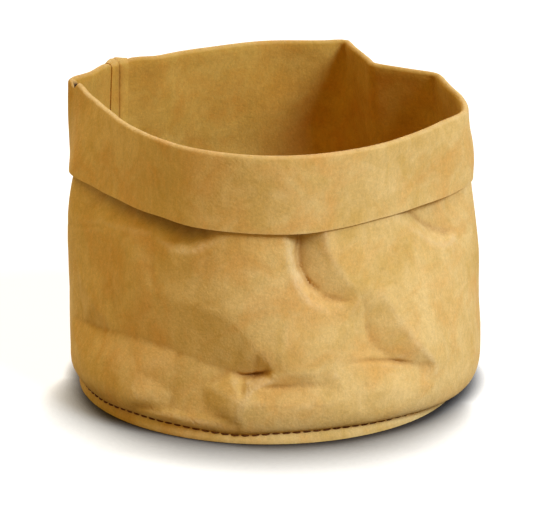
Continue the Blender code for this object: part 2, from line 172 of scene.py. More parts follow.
@dataclass(frozen=True)
class BasketForm:
    """The undented form of the basket, as the solids have it.

    Attributes:
        paper: Thickness of the paper.
        clearance: Gap between two papers that lie against each other.
        radius: Radius of the sewn tube.
        height: Height of the rim where it doesn't rise.
        shoulder: Height at which the bulge ends and the wall starts.
        base_offset: How far the base's middle lies from the tube's, along X.
        stitch_radius: Radius of the sewn foot at the stitches.
        foot_height: Height of the sewn foot.
        foot_flare: How far the foot opens towards the floor.
        foot_edge: Height up to which the foot stands straight.
        stitch_height: Height of the stitches.
        cuff_depth: How far the cuff hangs down.
        fold_radius: Radius of the fold, in the middle of the paper.
        seam_azimuth: Where the side seam runs, in degrees.
        seam_allowance: Width of each turned-in seam edge.
        seam_loop: How far a turned-in seam edge stands off the wall.
        bulge_turn: Where the bulge turns upward, as a share of its height.
        normal_step: Degrees to each side over which a direction is measured.
        rim_outline: Radius of the rim, against the tube's.
        under_cuff_outline: Radius at the cuff's lower edge, against the tube's.
        waist_outline: Radius halfway up the wall, against the tube's.
        shoulder_outline: Radius at the shoulder, against the tube's.
        rim_rise: How far the rim rises.
        cuff_gap: Distance from the wall to the cuff's lower edge.
        bulge_hang: How far the bulge hangs below its seam.
        bulge_reach: How far the bulge's underside runs out level, as a share.
        stitch_wave: How far the stitches rise.
        cuff_rise: How much shorter the cuff is.
        rim_corners: The rim's sharp corners.
    """

    paper: float = 0.6
    clearance: float = 0.15
    radius: float = 100.0
    height: float = 145.0
    shoulder: float = 20.0
    base_offset: float = 1.0
    stitch_radius: float = 95.2
    foot_height: float = 5.2
    foot_flare: float = 1.5
    foot_edge: float = 1.0
    stitch_height: float = 4.2
    cuff_depth: float = 39.0
    fold_radius: float = 1.6
    seam_azimuth: float = 144.0
    seam_allowance: float = 6.5
    seam_loop: float = 2.05
    bulge_turn: float = 0.25
    normal_step: float = 3.0
    rim_outline: Outline = Outline((
        (-174.5, -14.6), (-158, -19.8), (-145, -20.0), (-132, -18.2), (-112, -12.4), (-84, -8.0),
        (-56, -10.5), (-40, -11.5), (-22, -8.0), (-8, -0.5), (3, -2.0), (15, -4.2), (27, -2.6),
        (32, -6.4), (38, -11.4), (49, -16.5), (53, -13.0), (59, -7.4), (64, -0.9), (67, 4.6), (72, 0.4),
        (77, -2.2), (88, -5.0), (112, -13.5), (130, -14.5), (144, -3.6), (158, -4.9), (165, -3.7),
        (172, -1.3), (174, -4.4), (180, -10.2)))
    under_cuff_outline: Outline = Outline((
        (-178, -1.5), (-163, -12.0), (-145, -17.5), (-129, -17.0), (-111, -11.0), (-84, -8.5),
        (-52, -11.5), (-32, -11.0), (-18, -3.5), (-5, 3.0), (31, -0.5), (49, -11.5), (67, 3.5),
        (95, -6.5), (128, -10.5), (144, -3.5), (171, -1.3)))
    waist_outline: Outline = Outline((
        (-180, 0.2), (-150, -6.5), (-115, -6.5), (-85, -4.5), (-55, -5.0), (-35, -1.0), (-15, 4.5),
        (0, 8.4), (20, 6.5), (45, -1.0), (67, 2.5), (90, -1.5), (115, -4.0), (144, -1.0), (165, 0.0)))
    shoulder_outline: Outline = Outline((
        (-180, 0.5), (-150, -0.2), (-120, -1.3), (-88, -1.3), (-60, 1.0), (-35, 5.5), (-15, 8.5),
        (0, 9.4), (20, 7.0), (50, 2.5), (90, 0.5), (130, 0.0), (160, 0.4)))
    rim_rise: Outline = Outline((
        (-155, 2.2), (-134, 1.1), (-112, 0.8), (-84, 0.5), (-40, 0.0), (-8, 1.2), (24, 3.0), (49, 4.0),
        (67, 7.0), (138, 7.2), (141, 6.0), (147, 6.0), (150, 7.4), (158, 7.4), (172, 9.2), (183, 5.0)))
    cuff_gap: Outline = Outline(((-175, 1.6), (-130, 2.0), (-90, 1.7), (-20, 1.3), (20, 1.3), (90, 2.0)))
    bulge_hang: Outline = Outline((
        (-180, 0.4), (-110, 0.0), (-50, 0.1), (-40, 0.7), (-32, 1.9), (-24, 3.0), (-12, 3.4), (20, 2.0),
        (90, 0.8)))
    bulge_reach: Outline = Outline((
        (-180, 0.5), (-166, 0.15), (-152, 0.2), (-136, 0.6), (-110, 0.75), (90, 0.75)))
    stitch_wave: Outline = Outline((
        (-150, 0.0), (-133, 1.2), (-120, 1.1), (-110, 0.5), (-98, -0.4), (-86, 0.9), (-69, 1.3), (-60, 0.8),
        (-48, 0.2), (-36, -0.5), (-20, 0.0), (40, 0.4), (110, -0.3), (160, 0.2)))
    cuff_rise: Outline = Outline((
        (-172, 0.0), (-150, 0.2), (-128, 0.3), (-100, 0.2), (-80, -0.1), (-66, 0.6), (-50, 1.5), (-38, 1.3),
        (-28, 0.5), (-12, 1.2), (2, 2.4), (20, 1.6), (60, 0.8), (120, 0.2), (172, -1.8)))
    rim_corners: tuple[RimCorner, ...] = (
        RimCorner(27.0, 0.8, 6.0), RimCorner(67.0, 0.8, 5.0), RimCorner(144.0, 0.6, 6.0),
        RimCorner(172.0, 0.5, 5.0))

    @property
    def nesting(self) -> float:
        """Distance between the middles of two papers that lie against each other."""
        return self.paper + self.clearance

    @property
    def cuff_edge(self) -> float:
        """Height of the cuff's lower edge where the rim doesn't rise."""
        return self.height - self.cuff_depth

    def run_top(self, azimuth: np.ndarray) -> np.ndarray:
        """Returns the height at which the wall stops and the fold starts."""
        return self.height + self.rim_rise.at(azimuth) - self.paper / 2 - self.fold_radius

    def foot_top(self, azimuth: np.ndarray) -> np.ndarray:
        """Returns the height at which the sewn foot stops and the bulge starts."""
        return self.foot_height + self.stitch_wave.at(azimuth)

    def foot_radius(self, azimuth: np.ndarray, height: np.ndarray) -> np.ndarray:
        """Finds the paper of the sewn foot.

        Args:
            azimuth: Azimuths in degrees.
            height: Heights in millimetres.

        Returns:
            The distance from the body's axis.
        """
        share = np.clip((self.foot_height - height) / (self.foot_height - self.foot_edge), 0, 1)
        radius = self.stitch_radius + self.foot_flare * share
        turn = np.radians(azimuth)
        across = self.base_offset * np.sin(turn)
        return self.base_offset * np.cos(turn) + np.sqrt(radius ** 2 - across ** 2)

    def body_radius(self, azimuth: np.ndarray, height: np.ndarray) -> np.ndarray:
        """Finds the wall, from the shoulder up to the fold.

        Args:
            azimuth: Azimuths in degrees.
            height: Heights in millimetres.

        Returns:
            The distance from the body's axis.
        """
        waist = (self.shoulder + self.cuff_edge) / 2
        heights = [self.shoulder, waist, self.cuff_edge, self.run_top(azimuth)]
        outlines = (self.shoulder_outline, self.waist_outline, self.under_cuff_outline,
                    self.rim_outline)
        radii = [self.radius + outline.at(azimuth) for outline in outlines]
        radii[3] = radii[3] - self.fold_radius + self.corner_reach(azimuth)
        rises = [(radii[i + 1] - radii[i]) / (heights[i + 1] - heights[i]) for i in range(3)]
        slopes = [0 * rises[0], (rises[0] + rises[1]) / 2, (rises[1] + rises[2]) / 2, rises[2]]
        radius = radii[0] + 0 * height
        for i in range(3):
            step = heights[i + 1] - heights[i]
            share = np.clip((height - heights[i]) / step, 0, 1)
            piece = hermite(share, radii[i], radii[i + 1], slopes[i] * step, slopes[i + 1] * step)
            radius = np.where(height >= heights[i], piece, radius)
        return radius

    def corner_reach(self, azimuth: np.ndarray) -> np.ndarray:
        """Returns how far the corners push the rim out."""
        return sum(corner.reach * corner.at(azimuth) for corner in self.rim_corners)

    def body_point(self, azimuth: np.ndarray, height: np.ndarray) -> np.ndarray:
        """Returns points of the undented wall."""
        return polar(azimuth, self.body_radius(azimuth, height), height)

    def outward(self, azimuth: np.ndarray, height: np.ndarray) -> np.ndarray:
        """Finds which way the wall faces.

        Args:
            azimuth: Azimuths in degrees.
            height: Heights in millimetres.

        Returns:
            The level directions that point out of the wall.
        """
        step = self.normal_step
        chord = self.body_point(azimuth + step, height) - self.body_point(azimuth - step, height)
        return unit(np.stack([chord[..., 1], -chord[..., 0], 0 * chord[..., 0]], -1))

    def seam_step(self, azimuth: np.ndarray) -> np.ndarray:
        """Returns the share of the base's inward step round the turned-in seam edges."""
        flat = math.degrees((self.seam_allowance + self.nesting) / self.radius)
        return np.clip(2 - turn_away(azimuth, self.seam_azimuth) / flat, 0, 1)

    def base_rim_radius(self, azimuth: np.ndarray, height: np.ndarray) -> np.ndarray:
        """Returns the distance from the axis to the base's turned-down rim."""
        return self.foot_radius(azimuth, height) - self.nesting - self.seam_step(azimuth) * self.seam_loop


@dataclass
class CreaseRelief:
    """How far creases push a sheet in, as flat facets between crease lines.

    Crease lines and spots are corners of a net of triangles over the unrolled sheet. The net is
    read onto a lattice and softened a little, as paper does, and sharp nicks are added last.

    Attributes:
        form: The basket that the sheet belongs to.
        lines: Creases, each a path of azimuth, height and inward push.
        spots: Single corners of the net.
        nicks: Short sharp valleys, each a path of azimuth, height and depth.
        low: Lowest height of the sheet.
        high: Highest height of the sheet.
        spacing: Distance between the chance corners.
        chance: Lowest and highest push of the chance corners.
        softness: How wide the creases are rounded.
        seed: Seed of the chance corners.
        nick_reach: Half the width of a nick.
        cell: Step of the lattice.
        scatter: How far a chance corner strays, as a share of the spacing.
        room: Least distance from a chance corner to others, as a share of the spacing.
        inset: Least distance from a chance corner to the sheet's border.
        border_parts: How many parts each side of the border has.
        border_reach: How much longer the net's border is than the sheet's.
        border_shift: How far the net's border starts before the sheet's.
        bend_widths: Widths over which the sheet is softened twice to find its bends.
        full_bend: Difference between the two at which a bend is full.
        width: Width of the unrolled sheet.
        across: How far along it each point of the lattice lies.
        up: Height of each point of the lattice.
        push: Inward push over the lattice.
        valley: How strongly the sheet is creased inward, from 0 to 1.
        ridge: How strongly it is creased outward, from 0 to 1.
    """

    form: BasketForm
    lines: tuple[CreasePath, ...]
    spots: CreasePath
    nicks: tuple[CreasePath, ...]
    low: float
    high: float
    spacing: float
    chance: tuple[float, float]
    softness: float
    seed: int
    nick_reach: float = 1.7
    cell: float = 0.6
    scatter: float = 0.42
    room: float = 0.75
    inset: float = 3.0
    border_parts: int = 9
    border_reach: float = 1.002
    border_shift: float = 0.5
    bend_widths: Span = (0.6, 1.5)
    full_bend: float = 0.30
    width: float = field(init=False)
    across: np.ndarray = field(init=False)
    up: np.ndarray = field(init=False)
    push: np.ndarray = field(init=False)
    valley: np.ndarray = field(init=False)
    ridge: np.ndarray = field(init=False)

    def __post_init__(self) -> None:
        """Builds the lattice."""
        self.width = 2 * math.pi * self.form.radius
        columns = int(self.width / self.cell) + 2
        rows = int((self.high - self.low) / self.cell) + 2
        self.across, self.up = np.meshgrid(np.arange(columns) * self.cell,
                                           self.low + np.arange(rows) * self.cell)
        facets = self.read_net(*self.net())
        self.push = self.blur(facets, self.softness) + self.nick_depth()
        rounded = self.blur(self.push, self.bend_widths[0])
        bend = (self.blur(rounded, self.bend_widths[1]) - rounded) / self.full_bend
        self.valley = np.clip(-bend, 0, 1)
        self.ridge = np.clip(bend, 0, 1)

    def place(self, azimuth: float) -> float:
        """Returns how far along the unrolled sheet an azimuth lies, from the side seam."""
        return math.radians((azimuth - self.form.seam_azimuth) % 360) * self.form.radius

    def net(self) -> tuple[list[Vector], list[float], list[tuple[int, int]]]:
        """Lists the net's corners, their pushes and the creases between them.

        Returns:
            Corners on the unrolled sheet, the push at each, and pairs of corners.
        """
        corners: list[Vector] = []
        pushes: list[float] = []
        edges: list[tuple[int, int]] = []
        for path in (*self.lines, *((spot,) for spot in self.spots)):
            first = len(corners)
            corners += [Vector((self.place(azimuth), height)) for azimuth, height, _ in path]
            pushes += [push for _, _, push in path]
            edges += [(first + i, first + i + 1) for i in range(len(path) - 1)]
        random = np.random.default_rng(self.seed)
        margin = self.spacing * self.room
        for row in range(int((self.high - self.low) / self.spacing) + 1):
            for column in range(int(self.width / self.spacing) + 1):
                shift = random.uniform(-self.scatter, self.scatter, 2) * self.spacing
                push = float(random.uniform(*self.chance))
                spot = Vector(((column + 0.5 * (row % 2)) * self.spacing + shift[0],
                               self.low + (row + 0.5) * self.spacing + shift[1]))
                inside = (self.inset < spot.x < self.width - self.inset
                          and self.low + self.inset < spot.y < self.high - self.inset)
                if inside and all((spot - corner).length > margin for corner in corners):
                    corners.append(spot)
                    pushes.append(push)
        parts, reach, start = self.border_parts, self.border_reach, self.border_shift
        for i in range(parts + 1):
            for height in (self.low - 1, self.high + 1):
                corners.append(Vector((self.width * i / parts * reach - start, height)))
        for i in range(1, parts):
            for edge in (-start, self.width * reach - start):
                corners.append(Vector((edge, self.low + (self.high - self.low) * i / parts)))
        pushes += [0.0] * (len(corners) - len(pushes))
        return corners, pushes, edges

    def read_net(self, corners: list[Vector], pushes: list[float],
                 edges: list[tuple[int, int]]) -> np.ndarray:
        """Reads the net's facets onto the lattice.

        Args:
            corners: Corners on the unrolled sheet.
            pushes: Push at each corner.
            edges: Creases that the net keeps.

        Returns:
            The push at each point of the lattice.
        """
        tiny = 1e-6
        spots, _, faces, sources, _, _ = delaunay_2d_cdt(corners, edges, [], 0, 1e-4)
        values = []
        for i, source in enumerate(sources):
            if source:
                values.append(float(np.mean([pushes[k] for k in source])))
            else:
                near = min(range(len(corners)), key=lambda k: (corners[k] - spots[i]).length)
                values.append(pushes[near])
        result = np.zeros_like(self.across)
        for face in faces:
            (x0, y0), (x1, y1), (x2, y2) = (spots[k] for k in face[:3])
            left, right = sorted((x0, x1, x2))[::2]
            lowest, highest = sorted((y0, y1, y2))[::2]
            c0 = max(0, int(left / self.cell))
            c1 = int(right / self.cell) + 2
            r0 = max(0, int((lowest - self.low) / self.cell))
            r1 = int((highest - self.low) / self.cell) + 2
            x, y = self.across[r0:r1, c0:c1], self.up[r0:r1, c0:c1]
            area = (x1 - x0) * (y2 - y0) - (x2 - x0) * (y1 - y0)
            if abs(area) < tiny or not x.size:
                continue
            b = ((x - x0) * (y2 - y0) - (x2 - x0) * (y - y0)) / area
            c = ((x1 - x0) * (y - y0) - (x - x0) * (y1 - y0)) / area
            inside = (b >= -tiny) & (c >= -tiny) & (b + c <= 1 + tiny)
            v0, v1, v2 = (values[k] for k in face[:3])
            window = result[r0:r1, c0:c1]
            window[inside] = (v0 + b * (v1 - v0) + c * (v2 - v0))[inside]
        return result

    def blur(self, values: np.ndarray, width: float) -> np.ndarray:
        """Softens the lattice.

        Args:
            values: One value for each point of the lattice.
            width: How far the values spread, in millimetres.

        Returns:
            The softened values.
        """
        reach = int(3 * width / self.cell) + 1
        kernel = np.exp(-0.5 * (np.arange(-reach, reach + 1) * self.cell / width) ** 2)
        kernel /= kernel.sum()
        padded = np.pad(values, reach, mode="edge")
        level = sum(kernel[i] * padded[:, i:i + values.shape[1]] for i in range(2 * reach + 1))
        return sum(kernel[i] * level[i:i + values.shape[0]] for i in range(2 * reach + 1))

    def nick_depth(self) -> np.ndarray:
        """Presses the sharp nicks, of which the deepest counts at each point.

        Returns:
            Their depth at each point of the lattice.
        """
        total = np.zeros_like(self.across)
        for path in self.nicks:
            for (a0, h0, d0), (a1, h1, d1) in zip(path, path[1:]):
                x0, x1 = self.place(a0), self.place(a1)
                length = math.hypot(x1 - x0, h1 - h0)
                ux, uy = (x1 - x0) / length, (h1 - h0) / length
                along = np.clip((self.across - x0) * ux + (self.up - h0) * uy, 0, length)
                away = np.hypot(self.across - x0 - along * ux, self.up - h0 - along * uy)
                depth = d0 + (d1 - d0) * along / length
                piece = depth * np.clip(1 - away / self.nick_reach, 0, 1)
                total = np.where(np.abs(piece) > np.abs(total), piece, total)
        return total

    def read(self, values: np.ndarray, azimuth: np.ndarray, height: np.ndarray) -> np.ndarray:
        """Reads lattice values at any azimuth and height.

        Args:
            values: One of the lattice's arrays.
            azimuth: Azimuths in degrees.
            height: Heights in millimetres.

        Returns:
            The values there.
        """
        across = np.radians((azimuth - self.form.seam_azimuth) % 360) * self.form.radius / self.cell
        up = (height - self.low) / self.cell
        across = np.clip(across, 0, values.shape[1] - 1.001)
        up = np.clip(up, 0, values.shape[0] - 1.001)
        c, r = across.astype(int), up.astype(int)
        fx, fy = across - c, up - r
        return ((1 - fx) * (1 - fy) * values[r, c] + fx * (1 - fy) * values[r, c + 1]
                + (1 - fx) * fy * values[r + 1, c] + fx * fy * values[r + 1, c + 1])


FORM = BasketForm()

# Creases of the wall: azimuth in degrees, height, and push inward (ridges stand out below zero)
WALL_CREASES: tuple[CreasePath, ...] = (
    # The hollow that runs down from under the cuff's middle, and the ridge right of it
    ((-78.5, 124, 4.0), (-78.5, 112, 8.4), (-79, 105, 8.6), (-79.6, 95, 8.4), (-79, 88, 7.6),
     (-76.6, 80, 6.2), (-73, 74.5, 4.4), (-69, 71, 2.8), (-64.5, 69.5, 0.8)),
    ((-72, 124, 0.0), (-72, 112, -0.4), (-72, 106, -0.4), (-71.4, 97, -0.6), (-69, 89, -1.0),
     (-65, 79, -1.0), (-61.5, 70, -0.3)),
    ((-84.8, 118, 1.0), (-84.4, 106, 0.6), (-83.4, 96, 0.2), (-82.2, 86, 0.0), (-79.6, 76, 0.3),
     (-76, 69.5, 0.9), (-70, 65, 1.1)),
    # The long level valley at the lower left, ending in the deep pinch
    ((-172, 37, 1.0), (-162, 40, 3.0), (-142, 43.5, 5.2), (-130, 44, 6.4), (-120, 42, 6.6),
     (-110, 38.5, 6.4), (-101, 35.0, 6.8), (-96.8, 33.2, 7.6), (-93.2, 33.9, 7.6), (-90.6, 35.4, 6.0),
     (-88, 37.8, 2.0)),
    # The edge below the pinch and the ridge that runs down from it
    ((-88.6, 33.0, 1.6), (-91.5, 31.2, 1.2), (-94.6, 28.6, 1.0), (-97.0, 22, -1.3), (-99.0, 14, -0.8)),
    # The soft upright valley of the lower left
    ((-119, 38, 6.2), (-119, 31, 6.0), (-119.5, 22, 5.4), (-120, 14, 4.0)),
    # The level crease right of the pinch
    ((-91.5, 29.0, 1.6), (-87.5, 29.4, 2.2), (-80, 29.6, 2.2), (-74, 30.2, 1.5), (-68.5, 31.6, 0.6)),
    # The three-cornered facet at the lower right
    ((-56, 73, -0.8), (-52, 67, -1.4), (-48, 54, -2.2), (-43.5, 42, -2.1), (-38, 29.5, -1.2)),
    ((-70, 38.0, 1.0), (-63, 38.8, 2.2), (-57, 37.6, 3.4), (-50, 34.8, 3.6), (-44, 31.8, 2.4),
     (-38.5, 29.4, 0.4)),
    ((-59.4, 68, 1.0), (-59, 61, 2.4), (-58, 54, 3.6), (-57, 46, 4.4)),
    # The dent under the cuff at the right
    ((-46, 112, 0.4), (-38, 106, 3.0), (-31.5, 100, 4.6), (-27, 93, 5.0), (-22, 88.5, 3.6), (-16.5, 87, 1.0)),
    ((-22, 112, 2.6), (-19, 100, 2.0), (-16, 92, 0.6)),
    ((-43, 103, -0.3), (-36, 95, -0.5), (-30, 87, -0.5), (-23, 83.5, -0.3)),
    # The hollow under the cuff at the left
    ((-178, 112, 1.2), (-160, 111, 6.0), (-145, 110, 8.4), (-131, 108.5, 9.6), (-119.5, 105, 11.5),
     (-113, 105.5, 8.0), (-105, 107, 1.6)),
    ((-172, 86, -0.8), (-157, 92.5, -0.9), (-141, 96.0, -0.9), (-131, 97.6, 1.2), (-122, 92.5, -0.8),
     (-114, 94, -0.8), (-106.5, 100, -0.2)),
)
WALL_SPOTS: CreasePath = (
    (-98, 108, 0.0), (-94, 96, -0.4), (-92, 84, -0.4), (-90, 74, -0.2), (-86, 62, 0.3), (-77, 58, 0.9),
    (-69, 58, 0.8),
    (-185, 58, 0.0), (-168, 66, -0.2), (-148, 72, 0.6), (-128, 70, 1.0), (-113, 68, 0.6), (-101, 64, -0.8),
    (-96, 56, 0.4), (-87, 48, 0.3), (-80, 49, 0.0), (-72, 48, 0.4), (-66, 54, 0.8),
    (-160, 26, -0.6), (-144, 31, 0.4), (-131, 30, 2.0), (-145, 17, -2.0), (-131, 16, -1.7),
    (-109, 18, 4.2), (-109, 28, 5.8), (-89, 21, 0.2), (-80, 20, -0.6), (-72, 20, -0.8),
    (-84, 36.5, 0.4), (-77, 36, 0.2), (-70, 34.5, 0.2), (-90, 43, 1.4), (-92.5, 48, 1.2),
    (-62, 71, 0.0), (-65.5, 60, 0.8), (-66.5, 47, 1.2), (-68, 25, 0.2), (-58, 24, 0.4), (-48, 21, 0.4),
    (-38, 20, -0.4), (-28, 34, -0.2), (-32, 56, -0.3), (-38, 76, -0.2), (-24, 70, 0.1), (-52, 88, 0.0),
    (-54, 104, 0.0), (-62, 96, -0.1), (-10, 100, 0.2), (-8, 84, 0.0),
)
WALL_NICKS: tuple[CreasePath, ...] = (
    ((-80.3, 99, 0.1), (-80.4, 94, 0.9), (-80.0, 89, 1.4), (-78.4, 83.5, 1.6), (-76, 78.5, 1.4),
     (-73.4, 75, 0.3)),
    ((-99.8, 34.2, 0.3), (-97.3, 33.0, 1.8), (-94.3, 33.5, 3.0), (-91.4, 34.8, 2.8), (-89.2, 36.8, 0.4)),
    ((-92.0, 29.4, 0.1), (-90, 29.6, 0.6), (-86, 29.5, 0.4), (-81, 29.6, 0.0)),
    ((-66, 38.9, 0.1), (-62, 38.8, 0.5), (-57, 37.6, 0.7), (-52, 35.7, 0.9), (-49, 34.5, 1.5),
     (-45, 32.4, 0.1)),
    ((-61.5, 31, 0.0), (-61, 27, 0.45), (-60, 22, 0.0)),
    ((-59.3, 58, 0.0), (-58.6, 54, 0.5), (-57.5, 49, 0.1)),
    ((-38, 106, 0.0), (-33, 101, 0.7), (-28.5, 94.5, 0.8), (-24, 90, 0.0)),
    ((-178, 84, 0.1), (-168, 87, 0.7), (-158, 91.5, 0.8), (-146, 93, 0.1)),
    ((-117.5, 42.5, 0.0), (-118.5, 39.5, 0.4), (-119, 36, 0.0)),
    ((-71.5, 72.4, 0.3), (-68.5, 70.8, 0.8), (-64, 69.3, 0.0)),
)
# Creases of the cuff: azimuth, height below the fold, and push towards the wall
CUFF_CREASES: tuple[CreasePath, ...] = (
    ((-84, 2, -0.2), (-83, 20, -0.5), (-81, 37, -0.4)),
    ((-125, 3, 0.3), (-122, 20, 0.4), (-124, 36, 0.2)),
    ((-18, 3, -0.5), (-14, 20, -0.6), (-10, 37, -0.4)),
    ((-178, 6, -0.3), (172, 20, -0.6), (170, 37, -0.4)),
)
CUFF_SPOTS: CreasePath = (
    (-104, 12, 0.2), (-104, 28, 0.3), (-60, 14, 0.2), (-62, 30, 0.3), (-40, 20, 0.3), (-30, 32, 0.1),
    (-150, 14, 0.2), (-152, 30, 0.3), (4, 22, -1.6), (2, 8, 0.2), (4, 35, 0.6),
)


def write_mesh(name: str, points: np.ndarray, faces: list[tuple[int, ...]],
               marks: dict[str, np.ndarray]) -> bpy.types.Object:
    """Makes an object from points in millimetres.

    Args:
        name: Name of the piece.
        points: One row of three for each point.
        faces: Corners of each face.
        marks: Named values at the points, which the finish reads.

    Returns:
        The object, linked to the scene.
    """
    mesh = bpy.data.meshes.new(name)
    mesh.from_pydata((points * MM).tolist(), [], faces)
    for key, values in marks.items():
        layer = mesh.attributes.new(key, "FLOAT", "POINT")
        layer.data.foreach_set("value", values.astype(np.float32).ravel())
    mesh.validate()
    item = bpy.data.objects.new(name, mesh)
    bpy.context.scene.collection.objects.link(item)
    return item


def grid_faces(rows: int, columns: int, closed: bool) -> list[tuple[int, ...]]:
    """Lists the quads of a grid whose points go row by row.

    Args:
        rows: Number of rows.
        columns: Number of points in a row.
        closed: Whether each row closes on itself.

    Returns:
        The corners of each quad.
    """
    faces = []
    for r in range(rows - 1):
        for c in range(columns if closed else columns - 1):
            d = (c + 1) % columns
            faces.append((r * columns + c, r * columns + d, (r + 1) * columns + d, (r + 1) * columns + c))
    return faces


def make_plain(item: bpy.types.Object) -> bpy.types.Mesh:
    """Applies an object's modifiers and removes them.

    Args:
        item: The object.

    Returns:
        Its plain mesh.
    """
    evaluated = item.evaluated_get(bpy.context.evaluated_depsgraph_get())
    mesh = bpy.data.meshes.new_from_object(evaluated)
    item.modifiers.clear()
    item.data = mesh
    return mesh


def thicken(item: bpy.types.Object, paper: float, sharp: float = 50.0) -> bpy.types.Object:
    """Gives a sheet its paper thickness, half to each side.

    Args:
        item: The sheet.
        paper: Thickness in millimetres.
        sharp: Angle in degrees from which an edge stays sharp.

    Returns:
        The same object, as a plain mesh.
    """
    shell = item.modifiers.new("paper thickness", "SOLIDIFY")
    shell.thickness = paper * MM
    shell.offset = 0.0
    mesh = make_plain(item)
    mesh.shade_smooth()
    mesh.set_sharp_from_angle(angle=math.radians(sharp))
    return item


@dataclass
class WallSheet:
    """The wall: one sheet from the floor up, over the fold and down to the cuff's edge.

    Attributes:
        form: The basket's form.
        zones: Where each stretch of columns ends, and its step, in degrees.
        last_step: Step of the last stretch.
        foot_levels: Heights of the foot's rows between its edge and its stitches.
        groove_mark: How strongly the line of stitches marks the foot as creased, for painted shade and
            wrinkles.
        bulge_rows: Rows of the bulge.
        bulge_gain: How soon the creases grow up the bulge.
        wall_rows: Rows from the shoulder to behind the cuff's lower edge.
        covered_margin: How far those rows go on above that edge.
        crowded_height: Height at which they are closest together.
        crowded_reach: How far up and down they stay close.
        crowded_steps: Steps with which they are spread.
        inner_rows: Rows from there to the fold.
        fold_rows: Parts of the fold.
        fold_rub_and_highlight: How much rub and painted highlight the top of the fold takes.
        cuff_rows: Parts of the cuff.
        cuff_start: How soon the cuff's creases grow below the fold.
        cuff_hold: How fast and how far they calm down towards its edge.
        edge_wear: How scuffed the cuff's edge is.
        corner_depth: How far down the rim's corners mark the inside as creased, for painted shade and
            wrinkles.
        corner_line: How narrow such a crease is, and from where it shows.
        nick_azimuth: Where the rim has its pinch.
        nick_depth: How far the pinch lowers the fold.
        nick_width: How far it is felt to each side, in degrees.
        seam_steps: Parts of a seam edge's flat stretch and of its loop.
        flat_azimuth: Where the flat sheet's length is measured.
        relief: The wall's creases.
        cuff_relief: The cuff's creases.
    """

    form: BasketForm = FORM
    zones: RiseTable = (
        (168.0, 2.2), (178.0, 0.42), (258.0, 0.9), (334.0, 0.54), (354.0, 0.88), (381.0, 2.2),
        (391.0, 1.2), (421.0, 2.2), (432.0, 1.4))
    last_step: float = 2.2
    foot_levels: tuple[float, ...] = (1.9, 2.8, 3.6)
    groove_mark: float = 0.4
    bulge_rows: int = 9
    bulge_gain: float = 1.4
    wall_rows: int = 76
    covered_margin: float = 6.0
    crowded_height: float = 35.0
    crowded_reach: float = 9.0
    crowded_steps: int = 400
    inner_rows: int = 9
    fold_rows: int = 8
    fold_rub_and_highlight: float = 0.85
    cuff_rows: int = 18
    cuff_start: float = 6.0
    cuff_hold: Span = (2.5, 0.55)
    edge_wear: float = 0.35
    corner_depth: float = 26.0
    corner_line: Span = (2.4, 1.2)
    nick_azimuth: float = 174.0
    nick_depth: float = 3.4
    nick_width: float = 0.95
    seam_steps: tuple[int, int] = (4, 6)
    flat_azimuth: float = 100.0
    relief: CreaseRelief = field(init=False)
    cuff_relief: CreaseRelief = field(init=False)

    def __post_init__(self) -> None:
        """Presses the creases."""
        self.relief = CreaseRelief(self.form, WALL_CREASES, WALL_SPOTS, WALL_NICKS, low=10.0, high=140.0,
                                   spacing=23.0, chance=(-0.5, 1.5), softness=0.75, seed=11)
        self.cuff_relief = CreaseRelief(self.form, CUFF_CREASES, CUFF_SPOTS, (), low=1.0, high=40.0,
                                        spacing=17.0, chance=(-0.35, 0.25), softness=2.4, seed=5)

    def seam_section(self) -> list[Span]:
        """Draws one turned-in edge.

        Returns:
            Distance from the seam and from the wall, at each point.
        """
        form = self.form
        flat_steps, loop_steps = self.seam_steps
        half_gap = form.nesting / 2
        loop_end = 2 * form.nesting
        points = [(form.seam_allowance, form.nesting)]
        for step in range(1, flat_steps):
            share = step / flat_steps
            points.append((form.seam_allowance + share * (loop_end - form.seam_allowance),
                           form.nesting + share * (form.seam_loop - form.nesting)))
        middle = form.seam_loop / 2
        for step in range(loop_steps + 1):
            turn = math.pi * step / loop_steps
            points.append((loop_end - (loop_end - half_gap) * math.sin(turn),
                           middle + middle * math.cos(turn)))
        return points

    def columns(self) -> tuple[np.ndarray, np.ndarray]:
        """Spreads the sheet's columns, closer together where the wall is creased most.

        Returns:
            The azimuth and inward offset of each column.
        """
        per_unit = 180 / math.pi / self.form.radius
        seam = self.form.seam_azimuth
        section = self.seam_section()
        first = [(seam + along * per_unit, offset) for along, offset in section]
        last = [(seam + 360 - along * per_unit, offset) for along, offset in reversed(section)]
        middle: list[Span] = []
        start = first[-1][0]
        for end, step in (*self.zones, (last[0][0], self.last_step)):
            count = math.ceil((end - start) / step)
            middle += [(start + (end - start) * i / count, 0.0) for i in range(1, count + 1)]
            start = end
        table = np.array(first + middle[:-1] + last)
        return table[:, 0], table[:, 1]

    def section_normal(self, azimuth: np.ndarray, radius_step: np.ndarray,
                       height_step: np.ndarray) -> np.ndarray:
        """Returns the direction out of the paper where its section runs by the given steps."""
        length = np.hypot(radius_step, height_step)
        return polar(azimuth, height_step / length, -radius_step / length)

    def foot(self, azimuth: np.ndarray) -> list[Row]:
        """Makes the rows of the sewn foot.

        Args:
            azimuth: Azimuth of each column.

        Returns:
            The rows, as rows() gives them.
        """
        form = self.form
        rows = []
        nothing = 0 * azimuth
        rise = form.foot_height - form.foot_edge
        for height in (0.0, form.foot_edge, *self.foot_levels, form.stitch_height, form.foot_height):
            above = max(0.0, height - form.foot_edge) / rise
            level = min(height, form.foot_edge) + above * (form.foot_top(azimuth) - form.foot_edge)
            turn_out = 1.0 if height == form.foot_height else 0.0
            normal = self.section_normal(azimuth, turn_out + nothing, 1.0 + nothing)
            groove = self.groove_mark * max(0.0, 1 - abs(height - form.stitch_height))
            point = polar(azimuth, form.foot_radius(azimuth, level), level)
            rows.append((point, normal, groove + nothing, nothing))
        return rows

